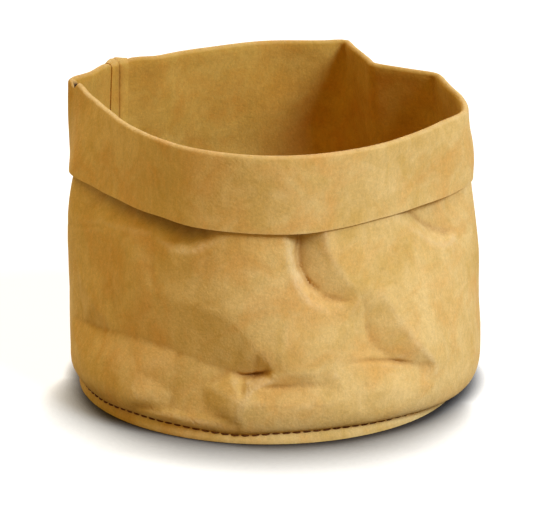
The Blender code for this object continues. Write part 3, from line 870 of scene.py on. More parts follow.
    def bulge(self, azimuth: np.ndarray) -> list[Row]:
        """Makes the rows of the bulge that swings out over the foot.

        Args:
            azimuth: Azimuth of each column.

        Returns:
            The rows, as rows() gives them.
        """
        form = self.form
        bottom = form.foot_top(azimuth)
        start = form.foot_radius(azimuth, bottom)
        end = form.body_radius(azimuth, form.shoulder + 0 * azimuth)
        lowest = bottom - form.bulge_hang.at(azimuth)
        turn_up = lowest + form.bulge_turn * (form.shoulder - bottom)
        radii = [start, start + form.bulge_reach.at(azimuth) * (end - start), end, end]
        heights = [bottom, lowest, turn_up, form.shoulder]
        rows = []
        for step in range(1, self.bulge_rows + 1):
            share = step / self.bulge_rows
            rest = 1 - share
            weights = [rest ** 3, 3 * share * rest ** 2, 3 * share ** 2 * rest, share ** 3]
            slopes = [rest ** 2, 2 * share * rest, share ** 2]
            radius = sum(weight * value for weight, value in zip(weights, radii))
            height = sum(weight * value for weight, value in zip(weights, heights)) + 0 * azimuth
            radius_step = sum(slopes[i] * (radii[i + 1] - radii[i]) for i in range(3))
            height_step = sum(slopes[i] * (heights[i + 1] - heights[i]) for i in range(3))
            normal = self.section_normal(azimuth, radius_step, height_step)
            push = min(1.0, self.bulge_gain * share) * self.relief.read(self.relief.push, azimuth, height)
            rows.append((polar(azimuth, radius - push, height), normal, *self.marks_at(azimuth, height)))
        return rows

    def marks_at(self, azimuth: np.ndarray, height: np.ndarray) -> tuple[np.ndarray, np.ndarray]:
        """Returns how strongly the wall is creased inward and outward."""
        relief = self.relief
        return relief.read(relief.valley, azimuth, height), relief.read(relief.ridge, azimuth, height)

    def fold_start(self, azimuth: np.ndarray) -> np.ndarray:
        """Returns the height at which the fold starts, lowered by the pinch."""
        return self.form.run_top(azimuth) - self.rim_nick(azimuth)

    def wall(self, azimuth: np.ndarray) -> list[Row]:
        """Makes the rows of the wall from above the shoulder to the fold.

        Args:
            azimuth: Azimuth of each column.

        Returns:
            The rows, as rows() gives them.
        """
        form = self.form
        rows = []
        top = self.fold_start(azimuth)
        covered = (form.cuff_edge + self.covered_margin - form.shoulder) / (form.height - form.shoulder)
        shares = list(covered * self.crowded_shares())
        shares += [covered + (1 - covered) * step / self.inner_rows for step in range(1, self.inner_rows + 1)]
        for share in shares:
            height = form.shoulder + share * (top - form.shoulder)
            normal = form.outward(azimuth, height)
            push = self.relief.read(self.relief.push, azimuth, height)
            point = form.body_point(azimuth, height) - normal * push[..., None]
            valley, ridge = self.marks_at(azimuth, height)
            rows.append((point, normal, valley + self.corner_shade_marks(azimuth, height, top), ridge))
        return rows

    def crowded_shares(self) -> np.ndarray:
        """Spreads the wall's rows, closer together where the creases lie.

        Returns:
            The place of each row, from 0 to 1.
        """
        form = self.form
        heights = np.linspace(form.shoulder, form.cuff_edge + self.covered_margin, self.crowded_steps)
        crowd = 1 + np.exp(-((heights - self.crowded_height) / self.crowded_reach) ** 2)
        total = np.concatenate([[0.0], np.cumsum((crowd[1:] + crowd[:-1]) / 2)])
        even = np.linspace(0, total[-1], self.wall_rows + 1)[1:]
        return np.interp(even, total, np.linspace(0, 1, len(heights)))

    def corner_shade_marks(self, azimuth: np.ndarray, height: np.ndarray, top: np.ndarray) -> np.ndarray:
        """Finds how strongly the rim's corners mark the inside as creased, for painted shade and wrinkles,
        fading down the wall.

        Args:
            azimuth: Azimuths in degrees.
            height: Heights in millimetres.
            top: Height at which the fold starts.

        Returns:
            The strength, from 0 to 1.
        """
        fade = np.clip(1 - (top - height) / self.corner_depth, 0, 1)
        gain, start = self.corner_line
        return fade * sum(np.clip(gain * corner.at(azimuth) - start, 0, 1)
                          for corner in self.form.rim_corners)

    def rim_nick(self, azimuth: np.ndarray) -> np.ndarray:
        """Returns how far the pinch in the left corner lowers the fold."""
        return self.nick_depth * np.clip(1 - turn_away(azimuth, self.nick_azimuth) / self.nick_width, 0, 1)

    def cuff(self, azimuth: np.ndarray) -> list[Row]:
        """Makes the rows of the rounded fold and of the cuff.

        Args:
            azimuth: Azimuth of each column.

        Returns:
            The rows, as rows() gives them.
        """
        form = self.form
        top = self.fold_start(azimuth)
        normal = form.outward(azimuth, top)
        start = form.body_point(azimuth, top)
        upright = np.array([0.0, 0.0, 1.0])
        nothing = 0 * azimuth
        nick = self.rim_nick(azimuth)
        rows = []
        for step in range(1, self.fold_rows):
            turn = math.pi * step / self.fold_rows
            offset = normal * (1 - math.cos(turn)) + upright * math.sin(turn)
            out = normal * math.cos(turn) - upright * math.sin(turn)
            # The fold's top takes rub and a painted highlight through its ridge mark
            painted_light_and_wear = self.fold_rub_and_highlight * math.sin(turn) + nothing
            rows.append((start + form.fold_radius * offset, out, nothing, painted_light_and_wear))
        length = form.cuff_depth - form.fold_radius - form.paper / 2 - form.cuff_rise.at(azimuth)
        edge_gap = form.cuff_gap.at(azimuth)
        relief = self.cuff_relief
        calming, calm = self.cuff_hold
        for step in range(self.cuff_rows + 1):
            share = step / self.cuff_rows
            height = top - share * (length - nick)
            below = share * length + form.fold_radius + nothing
            normal = form.outward(azimuth, height)
            held = np.minimum(1.0, calming * (1 - share) + calm)
            push = min(1.0, self.cuff_start * share) * held * relief.read(relief.push, azimuth, below)
            gap = 2 * form.fold_radius + share * (edge_gap - 2 * form.fold_radius) - push
            painted_light_and_wear = self.edge_wear if step == self.cuff_rows else 0.0
            valley = relief.read(relief.valley, azimuth, below)
            ridge = relief.read(relief.ridge, azimuth, below) + painted_light_and_wear
            rows.append((form.body_point(azimuth, height) + normal * gap[..., None], -normal, valley, ridge))
        return rows

    def rows(self, azimuth: np.ndarray) -> list[Row]:
        """Returns all rows: points, directions away from the sheet's inner face, valleys, ridges."""
        return self.foot(azimuth) + self.bulge(azimuth) + self.wall(azimuth) + self.cuff(azimuth)

    def build(self) -> bpy.types.Object:
        """Makes the sheet with its paper thickness.

        Returns:
            The piece, with its marks for the finish.
        """
        azimuth, offset = self.columns()
        rows = self.rows(azimuth)
        points = np.array([point - normal * offset[:, None] for point, normal, _, _ in rows])
        valley = np.array([row[2] for row in rows])
        ridge = np.array([row[3] for row in rows])
        seam = np.tile(np.clip(offset / self.form.nesting, 0, 1), len(rows))
        # Marks the rim's pinch, where the finish paints the shadow in its gap
        pinch_shadow = np.zeros_like(valley)
        first_cuff = len(rows) - self.cuff_rows - 1
        pinch_shadow[first_cuff - self.fold_rows - 1:first_cuff - 2] = self.rim_nick(azimuth) / self.nick_depth
        item = write_mesh("paper_wall", points.reshape(-1, 3), grid_faces(len(rows), len(azimuth), False),
                          {"valley": valley, "ridge": ridge, "seam": seam, "pinch_shadow": pinch_shadow})
        return thicken(item, self.form.paper)

    def flat_size(self) -> Span:
        """Measures the sheet before sewing.

        Returns:
            Its width and length in metres.
        """
        width = 2 * math.pi * self.form.radius + 2 * self.form.seam_allowance
        rise = self.form.height + self.form.rim_rise.at(np.array([self.flat_azimuth]))[0]
        length = rise + self.form.cuff_depth + math.pi * self.form.fold_radius
        return width * MM, length * MM


@dataclass
class BaseDisc:
    """The base: a disc that lies on the floor, rises to the stitches and turns down."""

    form: BasketForm = FORM
    columns: int = 220
    floor_radius: float = 58.0
    rim_levels: Span = (2.0, 3.0)
    bend: float = 1.2
    bend_rows: int = 4
    slope_rows: int = 14
    floor_rows: int = 16
    ripples: tuple[int, ...] = (5, 9, 14, 23)
    ripple_height: float = 0.6
    phase: float = 6.28
    seed: int = 23

    def build(self) -> bpy.types.Object:
        """Makes the disc with its paper thickness.

        Returns:
            The piece, with its marks for the finish.
        """
        form = self.form
        azimuth = np.arange(self.columns) * 360 / self.columns
        top = form.foot_height
        rim = form.base_rim_radius(azimuth, top + 0 * azimuth)
        rows = []
        for height in (form.clearance, form.foot_edge, *self.rim_levels, top - self.bend):
            level = height + 0 * azimuth
            rows.append(polar(azimuth, form.base_rim_radius(azimuth, level), level))
        for step in range(1, self.bend_rows + 1):
            turn = math.pi / 2 * step / self.bend_rows
            radius = rim - self.bend * (1 - math.cos(turn))
            rows.append(polar(azimuth, radius, top - self.bend * (1 - math.sin(turn))))
        inner = rim - self.bend
        for step in range(1, self.slope_rows + 1):
            share = step / self.slope_rows
            radius = inner + share * (self.floor_radius - inner)
            height = form.paper / 2 + (top - form.paper / 2) * (1 + math.cos(math.pi * share)) / 2
            ripple = self.ripple(azimuth) * math.sin(math.pi * share)
            rows.append(polar(azimuth, radius, height + ripple))
        for step in range(1, self.floor_rows):
            radius = self.floor_radius * (1 - step / self.floor_rows) + 0 * azimuth
            rows.append(polar(azimuth, radius, form.paper / 2 + 0 * azimuth))
        points = np.concatenate([np.array(rows).reshape(-1, 3), [[0.0, 0.0, form.paper / 2]]])
        faces = grid_faces(len(rows), self.columns, True)
        last = (len(rows) - 1) * self.columns
        centre = len(points) - 1
        faces += [(last + c, last + (c + 1) % self.columns, centre) for c in range(self.columns)]
        nothing = np.zeros(len(points))
        item = write_mesh("paper_base", points, faces, {"valley": nothing, "ridge": nothing})
        return thicken(item, form.paper)

    def ripple(self, azimuth: np.ndarray) -> np.ndarray:
        """Makes the soft waves that sewing leaves round the disc.

        Args:
            azimuth: Azimuths in degrees.

        Returns:
            The height of the waves.
        """
        random = np.random.default_rng(self.seed)
        wave = 0 * azimuth
        for count in self.ripples:
            start = random.uniform(0, self.phase)
            wave = wave + math.sqrt(1 / count) * np.sin(np.radians(azimuth * count) + start)
        return self.ripple_height * wave


class Finish(Enum):
    """The record's material slots that pieces take their finish from."""

    PAPER = "kraft_paper"
    THREAD = "seam_thread"


@dataclass(frozen=True)
class Noise:
    """A noise pattern: its scale, detail, roughness and distortion."""

    scale: float
    detail: float = 2.0
    roughness: float = 0.5
    distortion: float = 0.0


@dataclass
class NodeSheet:
    """A node tree with short ways to add and join nodes."""

    tree: bpy.types.NodeTree

    def feed(self, node: bpy.types.Node, inputs: dict) -> None:
        """Sets or joins a node's inputs.

        Args:
            node: The node.
            inputs: Values or sockets for its inputs, by name or place.
        """
        for key, value in inputs.items():
            socket = node.inputs[key]
            if isinstance(value, bpy.types.NodeSocket):
                self.tree.links.new(value, socket)
            else:
                socket.default_value = value

    def add(self, kind: str, inputs: dict | None = None, **settings: object) -> bpy.types.Node:
        """Adds a node.

        Args:
            kind: Blender's name of the node's type.
            inputs: Values or sockets for its inputs, by name or place.
            settings: The node's own properties.

        Returns:
            The node.
        """
        node = self.tree.nodes.new(kind)
        for key, value in settings.items():
            setattr(node, key, value)
        self.feed(node, inputs or {})
        return node

    def math(self, operation: str, first: object, second: object) -> bpy.types.NodeSocket:
        """Adds a Math node and returns its result."""
        return self.add("ShaderNodeMath", {0: first, 1: second}, operation=operation).outputs[0]

    def weigh(self, *parts: tuple[bpy.types.NodeSocket, float]) -> bpy.types.NodeSocket:
        """Adds up values.

        Args:
            parts: Each value and its weight.

        Returns:
            The sum.
        """
        *others, total = [self.math("MULTIPLY", value, weight) for value, weight in parts]
        for part in reversed(others):
            total = self.math("ADD", part, total)
        return total

    def vector(self, operation: str, first: object,
               second: object = (0.0, 0.0, 0.0)) -> bpy.types.NodeOutputs:
        """Adds a Vector Math node and returns its outputs."""
        return self.add("ShaderNodeVectorMath", {0: first, 1: second}, operation=operation).outputs

    def upright(self, **parts: object) -> bpy.types.NodeSocket:
        """Adds a Combine XYZ node and returns its vector."""
        return self.add("ShaderNodeCombineXYZ", parts).outputs[0]

    def ramp(self, value: bpy.types.NodeSocket, source: Span,
             target: Span = (0.0, 1.0)) -> bpy.types.NodeSocket:
        """Adds a clamped Map Range node.

        Args:
            value: The value to read.
            source: The two ends of the range it is read over.
            target: What it gives at those ends.

        Returns:
            The result.
        """
        limits = dict(zip(("From Min", "From Max", "To Min", "To Max"), (*source, *target)))
        return self.add("ShaderNodeMapRange", {"Value": value, **limits}, clamp=True).outputs[0]

    def noise(self, place: bpy.types.NodeSocket, noise: Noise) -> bpy.types.NodeSocket:
        """Adds a Noise node.

        Args:
            place: A point's place.
            noise: The pattern.

        Returns:
            Its value.
        """
        return self.add("ShaderNodeTexNoise", {
            "Vector": place, "Scale": noise.scale, "Detail": noise.detail,
            "Roughness": noise.roughness, "Distortion": noise.distortion}).outputs[0]

    def mix(self, share: object, first: object, second: object, blend: str = "MIX") -> bpy.types.NodeSocket:
        """Adds a colour Mix node.

        Args:
            share: How much of the second colour shows.
            first: The first colour.
            second: The second colour.
            blend: How the two are mixed.

        Returns:
            The mixed colour.
        """
        node = self.add("ShaderNodeMix", {0: share, 6: first, 7: second},
                        data_type="RGBA", blend_type=blend, clamp_factor=True)
        return node.outputs[2]

    def mark(self, name: str) -> bpy.types.NodeSocket:
        """Returns a piece's own value at a point, by its attribute's name."""
        return self.add("ShaderNodeAttribute", attribute_name=name).outputs["Fac"]

    def place(self) -> bpy.types.NodeSocket:
        """Returns a point's place on the object."""
        return self.add("ShaderNodeTexCoord").outputs["Object"]


def new_group(name: str, values: tuple[str, ...],
              outputs: tuple[str, ...]) -> tuple[NodeSheet, bpy.types.NodeOutputs]:
    """Starts a shader node group that reads a place.

    Args:
        name: Name of the group.
        values: Names of its other inputs, which are plain values.
        outputs: Names of its outputs, which are plain values.

    Returns:
        The group's node sheet, and its inputs by name.
    """
    tree = bpy.data.node_groups.new(name, "ShaderNodeTree")
    tree.interface.new_socket(name="Vector", in_out="INPUT", socket_type="NodeSocketVector")
    for way, names in (("INPUT", values), ("OUTPUT", outputs)):
        for key in names:
            tree.interface.new_socket(name=key, in_out=way, socket_type="NodeSocketFloat")
    sheet = NodeSheet(tree)
    return sheet, sheet.add("NodeGroupInput").outputs


def new_material(name: str) -> tuple[bpy.types.Material, NodeSheet, bpy.types.Node]:
    """Starts a material.

    Args:
        name: Name of the material.

    Returns:
        The material, its node sheet and its shader.
    """
    material = bpy.data.materials.new(name)
    material.use_nodes = True
    return material, NodeSheet(material.node_tree), material.node_tree.nodes["Principled BSDF"]


@dataclass(frozen=True)
class PaperGrain:
    """Grain of washable paper: cloudy tone, blush, fibre specks, streaks and surface height."""

    broad: Noise = Noise(20.0, 3.0, 0.55, 0.4)
    patch: Noise = Noise(85.0, 4.0, 0.6, 0.8)
    blush: Noise = Noise(38.0, 4.0, 0.62, 0.6)
    blush_shift: Direction = (3.0, 7.0, 1.0)
    fine: Noise = Noise(700.0, 3.0, 0.7, 0.5)
    grit: Noise = Noise(1600.0, 2.0, 0.6)
    low: Noise = Noise(170.0, 3.0, 0.6, 0.6)
    streak: Noise = Noise(430.0, 4.0, 0.7, 0.6)
    streak_stretch: Direction = (1.0, 1.0, 0.30)
    pebble_scale: float = 800.0
    cloud_weights: Span = (0.5, 0.5)
    speck_weights: Span = (0.6, 0.4)
    height_weights: Direction = (0.5, 0.6, 1.3)

    def build(self) -> bpy.types.NodeTree:
        """Makes the node group.

        Returns:
            The group, which gives Cloud, Blush, Speck, Streak and Height.
        """
        sheet, given = new_group("Paper grain", (), ("Cloud", "Blush", "Speck", "Streak", "Height"))
        place = given["Vector"]
        fine = sheet.noise(place, self.fine)
        pebble = sheet.add("ShaderNodeTexVoronoi", {"Vector": place, "Scale": self.pebble_scale,
                                                    "Randomness": 1.0}, feature="SMOOTH_F1")
        clouds = (sheet.noise(place, self.broad), sheet.noise(place, self.patch))
        heights = (pebble.outputs["Distance"], fine, sheet.noise(place, self.low))
        moved = sheet.vector("ADD", place, self.blush_shift)[0]
        drawn_out = sheet.vector("MULTIPLY", place, self.streak_stretch)[0]
        sheet.add("NodeGroupOutput", {
            "Cloud": sheet.weigh(*zip(clouds, self.cloud_weights)),
            "Blush": sheet.noise(moved, self.blush),
            "Speck": sheet.weigh(*zip((fine, sheet.noise(place, self.grit)), self.speck_weights)),
            "Streak": sheet.noise(drawn_out, self.streak),
            "Height": sheet.weigh(*zip(heights, self.height_weights))})
        return sheet.tree


@dataclass(frozen=True)
class CreasePaintedLightAndWear:
    """Creases: a mask of painted shade in valleys, a mask on ridges for rub and painted highlight, and
    wrinkles beside them.
    """

    breakup: Noise = Noise(260.0, 4.0, 0.7, 0.6)
    valley_range: Span = (0.05, 0.9)
    valley_breakup: Span = (0.3, 0.62)
    valley_least: float = 0.35
    ridge_range: Span = (0.1, 0.9)
    ridge_breakup: Span = (0.35, 0.65)
    ridge_least: float = 0.3
    bent: Noise = Noise(60.0, 2.0, 0.5)
    bends: Span = (0.02, 0.006)
    wrinkle_scale: float = 120.0
    wrinkle_width: float = 0.12
    wrinkle_range: Span = (0.1, 0.9)

    def build(self) -> bpy.types.NodeTree:
        """Makes the node group.

        Returns:
            The group, which gives Valley Shade, Rub And Highlight and Wrinkle.
        """
        sheet, given = new_group("Crease wear", ("Valley", "Ridge"), ("Valley Shade", "Rub And Highlight", "Wrinkle"))
        place, valley, ridge = given["Vector"], given["Valley"], given["Ridge"]
        breakup = sheet.noise(place, self.breakup)
        dark = sheet.math("MULTIPLY", sheet.ramp(valley, self.valley_range),
                          sheet.ramp(breakup, self.valley_breakup, (self.valley_least, 1.0)))
        rub_and_highlight_mask = sheet.math("MULTIPLY", sheet.ramp(ridge, self.ridge_range),
                            sheet.ramp(breakup, self.ridge_breakup, (self.ridge_least, 1.0)))
        level = sheet.math("MULTIPLY", sheet.noise(place, self.bent), self.bends[0])
        shift = sheet.upright(X=level, Y=level, Z=sheet.math("MULTIPLY", breakup, self.bends[1]))
        cells = sheet.add("ShaderNodeTexVoronoi", {
            "Vector": sheet.vector("ADD", place, shift)[0], "Scale": self.wrinkle_scale,
            "Randomness": 1.0}, feature="DISTANCE_TO_EDGE")
        lines = sheet.ramp(cells.outputs["Distance"], (0.0, self.wrinkle_width), (1.0, 0.0))
        near = sheet.ramp(sheet.math("ADD", valley, ridge), self.wrinkle_range)
        sheet.add("NodeGroupOutput", {"Valley Shade": dark, "Rub And Highlight": rub_and_highlight_mask,
                                      "Wrinkle": sheet.math("MULTIPLY", lines, near)})
        return sheet.tree


@dataclass(frozen=True)
class KraftPaper:
    """Washable kraft paper, soft and matt, with painted shade inside, in recesses and in creases, and a
    painted highlight on ridges and the fold's top.

    Attributes:
        pale: Its pale clouds.
        deep: Its deep clouds.
        orange: Its warmer patches.
        valley_shade_and_soil: The dark line in a valley: painted shade in the crease, with some soiling.
        hollow_shade: Painted shade in recesses that other paper hides.
        inner: What the inside is multiplied by, a painted shade inside the basket.
        rub_and_highlight: The lighter tone of ridges and the fold's top, partly rub and partly painted
            highlight, and of the cuff's scuffed edge.
        pinch_shadow: The painted shadow in the gap of the rim's pinch.
        cloud_range: Between which values the clouds change.
        blush_range: Between which values the warmer patches show.
        blush_share: How strongly they show.
        speck_range: Between which values specks and streaks change.
        speck_tones: Darkest and lightest speck.
        streak_tones: Darkest and lightest streak.
        inside_range: Turn to the axis between which the paper counts as inside.
        hollow_shade_reach: How near other paper must be to paint shade, in metres.
        hollow_shade_samples: With how many rays it is felt for.
        hollow_shade_range: Between which shares of open view the painted shade shows.
        hollow_shade_shares: How strongly it shows outside, and on the inside and the seam.
        foot_clear: Heights above the foot between which the painted shade in recesses starts, in metres.
        valley_shade_and_soil_share: How strongly a valley darkens with painted shade and soiling.
        rub_and_highlight_share: How strongly ridges take the rub and the painted highlight.
        pinch_shadow_range: Between which marks the painted shadow in the pinch darkens.
        rough_range: Between which values the roughness changes.
        roughness: Highest and lowest roughness.
        bump_weights: Heights of the grain and of the wrinkles.
        bump_strength: Strength of both.
        bump_distance: Their depth in metres.
        plain_inputs: What is the same all over.
    """

    pale: Colour = (0.78, 0.51, 0.150, 1.0)
    deep: Colour = (0.64, 0.380, 0.080, 1.0)
    orange: Colour = (0.70, 0.345, 0.065, 1.0)
    valley_shade_and_soil: Colour = (0.32, 0.11, 0.012, 1.0)
    hollow_shade: Colour = (0.38, 0.16, 0.018, 1.0)
    inner: Colour = (0.80, 0.71, 0.36, 1.0)
    rub_and_highlight: Colour = (0.80, 0.57, 0.26, 1.0)
    pinch_shadow: Colour = (0.035, 0.012, 0.004, 1.0)
    cloud_range: Span = (0.36, 0.62)
    blush_range: Span = (0.46, 0.70)
    blush_share: float = 0.7
    speck_range: Span = (0.32, 0.68)
    speck_tones: Span = (0.88, 1.12)
    streak_tones: Span = (0.945, 1.05)
    inside_range: Span = (-0.5, 0.1)
    hollow_shade_reach: float = 0.015
    hollow_shade_samples: int = 6
    hollow_shade_range: Span = (0.30, 0.92)
    hollow_shade_shares: Span = (0.65, 0.12)
    foot_clear: Span = (0.007, 0.015)
    valley_shade_and_soil_share: float = 0.42
    rub_and_highlight_share: float = 0.34
    pinch_shadow_range: Span = (0.05, 0.55)
    rough_range: Span = (0.3, 0.7)
    roughness: Span = (0.72, 0.60)
    bump_weights: Span = (0.24, 0.16)
    bump_strength: float = 0.7
    bump_distance: float = 0.0010
    plain_inputs: tuple[tuple[str, float], ...] = (
        ("Sheen Weight", 0.02), ("Sheen Roughness", 0.5), ("Specular IOR Level", 0.06))

    def facing_in(self, sheet: NodeSheet, place: bpy.types.NodeSocket) -> bpy.types.NodeSocket:
        """Finds how far the paper faces the basket's axis.

        Args:
            sheet: The material's node sheet.
            place: A point's place on the object.

        Returns:
            The share, from 0 to 1.
        """
        away = sheet.vector("NORMALIZE", sheet.vector("MULTIPLY", place, (1.0, 1.0, 0.0))[0])[0]
        normal = sheet.add("ShaderNodeNewGeometry").outputs["Normal"]
        turn = sheet.vector("DOT_PRODUCT", away, normal)["Value"]
        return sheet.ramp(turn, self.inside_range, (1.0, 0.0))

    def hollow_shade_share(self, sheet: NodeSheet, place: bpy.types.NodeSocket) -> bpy.types.NodeSocket:
        """Finds how much painted shade a point takes from nearby paper, leaving out the sewn foot.

        Args:
            sheet: The material's node sheet.
            place: A point's place on the object.

        Returns:
            The share, from 0 to 1.
        """
        view = sheet.add("ShaderNodeAmbientOcclusion", {"Distance": self.hollow_shade_reach},
                         samples=self.hollow_shade_samples)
        height = sheet.add("ShaderNodeSeparateXYZ", {0: place}).outputs["Z"]
        deep = sheet.ramp(view.outputs["AO"], self.hollow_shade_range, (1.0, 0.0))
        return sheet.math("MULTIPLY", deep, sheet.ramp(height, self.foot_clear))

    def tone(self, sheet: NodeSheet, grain: bpy.types.NodeOutputs) -> bpy.types.NodeSocket:
        """Mixes the paper's clouds, warmer patches, specks and streaks.

        Args:
            sheet: The material's node sheet.
            grain: The paper grain group's outputs.

        Returns:
            The colour.
        """
        colour = sheet.mix(sheet.ramp(grain["Cloud"], self.cloud_range), self.deep, self.pale)
        blush = sheet.ramp(grain["Blush"], self.blush_range, (0.0, self.blush_share))
        colour = sheet.mix(blush, colour, self.orange)
        speck = sheet.math("MULTIPLY", sheet.ramp(grain["Speck"], self.speck_range, self.speck_tones),
                           sheet.ramp(grain["Streak"], self.speck_range, self.streak_tones))
        grey = sheet.add("ShaderNodeCombineColor", {0: speck, 1: speck, 2: speck}).outputs[0]
        return sheet.mix(1.0, colour, grey, "MULTIPLY")

    def build(self, grain_group: bpy.types.NodeTree, crease_light_and_wear_group: bpy.types.NodeTree) -> bpy.types.Material:
        """Makes the material.

        Args:
            grain_group: The paper grain group.
            crease_light_and_wear_group: The group of painted shade in valleys, rub and painted highlight on
                ridges, and wrinkles.

        Returns:
            The material.
        """
        material, sheet, shader = new_material("washable kraft paper")
        place = sheet.place()
        grain = sheet.add("ShaderNodeGroup", {"Vector": place}, node_tree=grain_group).outputs
        # Painted shade in valleys, rub and painted highlight on ridges, and wrinkles
        painted_light_and_wear = sheet.add("ShaderNodeGroup", {
            "Vector": place, "Valley": sheet.mark("valley"), "Ridge": sheet.mark("ridge")},
            node_tree=crease_light_and_wear_group).outputs
        colour = self.tone(sheet, grain)
        inside = self.facing_in(sheet, place)
        # Painted shade on the inside of the basket
        colour = sheet.mix(inside, colour, sheet.mix(1.0, colour, self.inner, "MULTIPLY"))
        # Painted shade in recesses, from ambient occlusion, weaker inside and on the seam
        plain = sheet.math("MAXIMUM", inside, sheet.mark("seam"))
        painted_hollow_shade = sheet.math("MULTIPLY", self.hollow_shade_share(sheet, place),
                          sheet.ramp(plain, (0.0, 1.0), self.hollow_shade_shares))
        for share, tinge in (
                (painted_hollow_shade, self.hollow_shade),
                # Painted shade in valleys, with some soiling
                (sheet.math("MULTIPLY", painted_light_and_wear["Valley Shade"], self.valley_shade_and_soil_share), self.valley_shade_and_soil),
                # Rub and painted highlight on ridges and the fold's top
                (sheet.math("MULTIPLY", painted_light_and_wear["Rub And Highlight"], self.rub_and_highlight_share), self.rub_and_highlight),
                # Painted shadow in the gap of the rim's pinch
                (sheet.ramp(sheet.mark("pinch_shadow"), self.pinch_shadow_range), self.pinch_shadow)):
            colour = sheet.mix(share, colour, tinge)
        height = sheet.math("SUBTRACT", sheet.math("MULTIPLY", grain["Height"], self.bump_weights[0]),
                            sheet.math("MULTIPLY", painted_light_and_wear["Wrinkle"], self.bump_weights[1]))
        bump = sheet.add("ShaderNodeBump", {"Height": height, "Strength": self.bump_strength,
                                            "Distance": self.bump_distance})
        sheet.feed(shader, {"Base Color": colour, "Normal": bump.outputs[0],
                            "Roughness": sheet.ramp(grain["Cloud"], self.rough_range, self.roughness),
                            **dict(self.plain_inputs)})
        return material


@dataclass(frozen=True)
class SeamThread:
    """Waxed dark brown sewing thread."""

    dark: Colour = (0.085, 0.020, 0.003, 1.0)
    light: Colour = (0.30, 0.095, 0.014, 1.0)
    strand: Noise = Noise(2200.0, 2.0, 0.6)
    along: Noise = Noise(140.0, 2.0, 0.5)
    strand_range: Span = (0.35, 0.65)
    along_range: Span = (0.3, 0.7)
    rough_range: Span = (0.3, 0.7)
    roughness: Span = (0.5, 0.75)
    specular: float = 0.12
    bump_strength: float = 0.4
    bump_distance: float = 0.0002

    def build(self) -> bpy.types.Material:
        """Makes the material.

        Returns:
            The material.
        """
        material, sheet, shader = new_material("waxed brown thread")
        place = sheet.place()
        strand = sheet.noise(place, self.strand)
        along = sheet.noise(place, self.along)
        share = sheet.math("MULTIPLY", sheet.ramp(strand, self.strand_range),
                           sheet.ramp(along, self.along_range))
        bump = sheet.add("ShaderNodeBump", {"Height": strand, "Strength": self.bump_strength,
                                            "Distance": self.bump_distance})
        sheet.feed(shader, {"Base Color": sheet.mix(share, self.dark, self.light),
                            "Roughness": sheet.ramp(strand, self.rough_range, self.roughness),
                            "Specular IOR Level": self.specular, "Normal": bump.outputs[0]})
        return material


@dataclass(frozen=True)
class StitchSetting:
    """One line of lockstitch, with its lengths in millimetres.

    Attributes:
        pitch: Distance from stitch to stitch.
        length: Length of a stitch.
        thread: Width of the thread.
        sink: How deep a stitch's ends go into the paper.
        lift: How far its middle stands out.
        jitter: How unevenly the stitches lie, as a share.
        seed: Seed of the unevenness.
    """

    pitch: float = 5.1
    length: float = 4.25
    thread: float = 0.82
    sink: float = 0.5
    lift: float = 0.22
    jitter: float = 0.05
    seed: int = 3

    def inputs(self) -> dict[str, float]:
        """Returns the values of the node tree's inputs, with lengths in metres."""
        return {"Pitch": self.pitch * MM, "Stitch Length": self.length * MM, "Thread Width": self.thread * MM,
                "Sink": self.sink * MM, "Lift": self.lift * MM, "Jitter": self.jitter}


